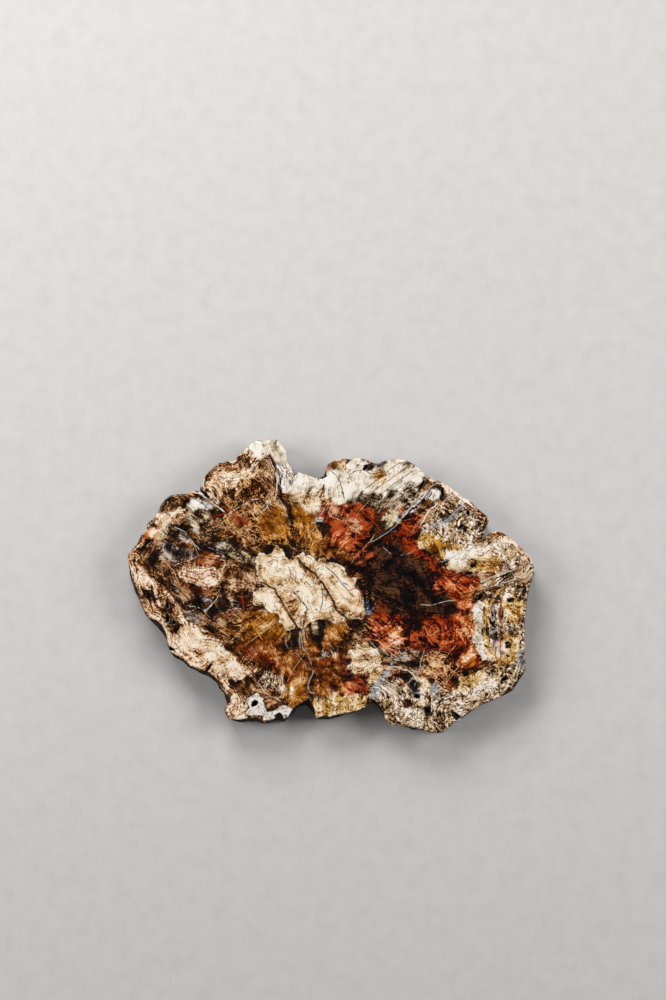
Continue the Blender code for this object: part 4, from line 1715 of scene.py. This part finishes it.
    def build(self) -> bpy.types.Object:
        """Builds the slice, dresses it and ties it to the CAD.

        Returns:
            The finished piece.
        """
        piece = self.copy_of_cad()
        outline = BVHTree.FromObject(piece, bpy.context.evaluated_depsgraph_get())
        self.open_face(piece)
        edge = [v.co.copy() for v in piece.data.vertices if v.co.z > self.top - self.level_gap]
        outer = self.outer_rim(piece)
        grid = self.fine_face(searchable(edge), outline)
        piece.select_set(True)
        grid.select_set(True)
        bpy.context.view_layer.objects.active = piece
        bpy.ops.object.join()
        self.close_band(piece, outline)
        self.roughen(piece)
        self.dress(piece)
        FaceMap(piece.data, outer).build()
        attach(piece, BODY)
        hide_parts(NODE)
        return piece


@dataclass(frozen=True)
class Lamp:
    """A soft square light: where it stands and its side, in metres, and its power in watts."""

    name: str
    at: tuple[float, float, float]
    power: float
    side: float = 1.2

    def build(self) -> bpy.types.Object:
        """Makes the light, turned to the slice.

        Returns:
            The light.
        """
        data = bpy.data.lights.new(self.name, "AREA")
        data.size = self.side
        data.energy = self.power
        light = bpy.data.objects.new(self.name, data)
        light.location = self.at
        light.rotation_euler = (-Vector(self.at)).to_track_quat("-Z", "Y").to_euler()
        light.visible_camera = False
        bpy.context.collection.objects.link(light)
        return light


@dataclass
class Studio:
    """A plain pale floor, soft light and the camera of the photograph, which sees as far as sight."""

    lens: float = 200.0
    sensor: float = 36.0
    sight: float = 50.0
    floor_size: float = 6.0
    floor_grain: float = 60.0
    floor_colours: str = "cbc8c6 d6d3d1 dedbd9"
    floor_roughness: float = 0.8
    room_light: float = 0.11
    lamps: tuple[Lamp, ...] = (
        Lamp("light_back", (-0.6, 1.7, 1.3), 31.0),
        Lamp("light_right", (1.8, 0.3, 1.4), 23.5),
        Lamp("light_left", (-1.8, 0.2, 1.4), 20.0),
    )

    def place_floor(self) -> bpy.types.Object:
        """Lays a plain pale floor under the slice.

        Returns:
            The floor.
        """
        bpy.ops.mesh.primitive_plane_add(size=self.floor_size, location=(0.0, 0.0, CAD_BOX[0][2]))
        floor = bpy.context.object
        floor.name = "floor"
        graph = Graph("pale_floor")
        grain = graph.noise(graph.place(unit=1.0), scale=self.floor_grain, detail=3.0)
        graph.set(Base_Color=graph.ramp(grain, self.floor_colours),
                  Roughness=self.floor_roughness + 0.15 * grain)
        floor.data.materials.append(graph.material)
        return floor

    def place_camera(self) -> bpy.types.Object:
        """Sets the camera above the face, leaning as in the photograph, with the slice where it lies there.

        Returns:
            The camera.
        """
        low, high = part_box(NODE)
        scale = (high.x - low.x) / (PHOTO_SPAN_X[1] - PHOTO_SPAN_X[0])
        centre = Vector(((low.x + high.x) / 2, (low.y + high.y) / 2, high.z))
        right = PHOTO_CENTRE[0] - sum(PHOTO_SPAN_X) / 2
        up = (sum(PHOTO_SPAN_Y) / 2 - PHOTO_CENTRE[1]) / math.sin(VIEW_ELEVATION)
        aim = centre + Vector((right * scale, up * scale, 0.0))
        distance = PHOTO_HEIGHT * scale * self.lens / self.sensor
        data = bpy.data.cameras.new("camera")
        data.lens = self.lens
        data.sensor_width = self.sensor
        data.clip_end = self.sight
        camera = bpy.data.objects.new("camera", data)
        back = Vector((0.0, -math.cos(VIEW_ELEVATION), math.sin(VIEW_ELEVATION)))
        camera.location = aim + back * distance
        camera.rotation_euler = (math.pi / 2 - VIEW_ELEVATION, 0.0, 0.0)
        bpy.context.collection.objects.link(camera)
        bpy.context.scene.camera = camera
        return camera

    def light_room(self) -> None:
        """Adds a faint white light from all sides."""
        world = bpy.data.worlds.new("room")
        world.use_nodes = True
        background = world.node_tree.nodes["Background"].inputs
        background["Color"].default_value = (1.0, 1.0, 1.0, 1.0)
        background["Strength"].default_value = self.room_light
        bpy.context.scene.world = world

    def build(self) -> None:
        """Sets up the floor, the lights and the camera."""
        self.place_floor()
        for lamp in self.lamps:
            lamp.build()
        self.light_room()
        bpy.context.scene.view_settings.view_transform = "Standard"
        self.place_camera()


def main() -> None:
    """Builds the slice and the studio and reports them."""
    logging.basicConfig(level=logging.INFO, format="%(message)s")
    piece = Slice().build()
    logging.info("%s: %d faces, %d attributes", piece.name, len(piece.data.polygons),
                 len(piece.data.attributes))
    Studio().build()
    logging.info("floor, lights and camera placed")
    logging.info("sizes written")


if __name__ == "__main__":
    main()
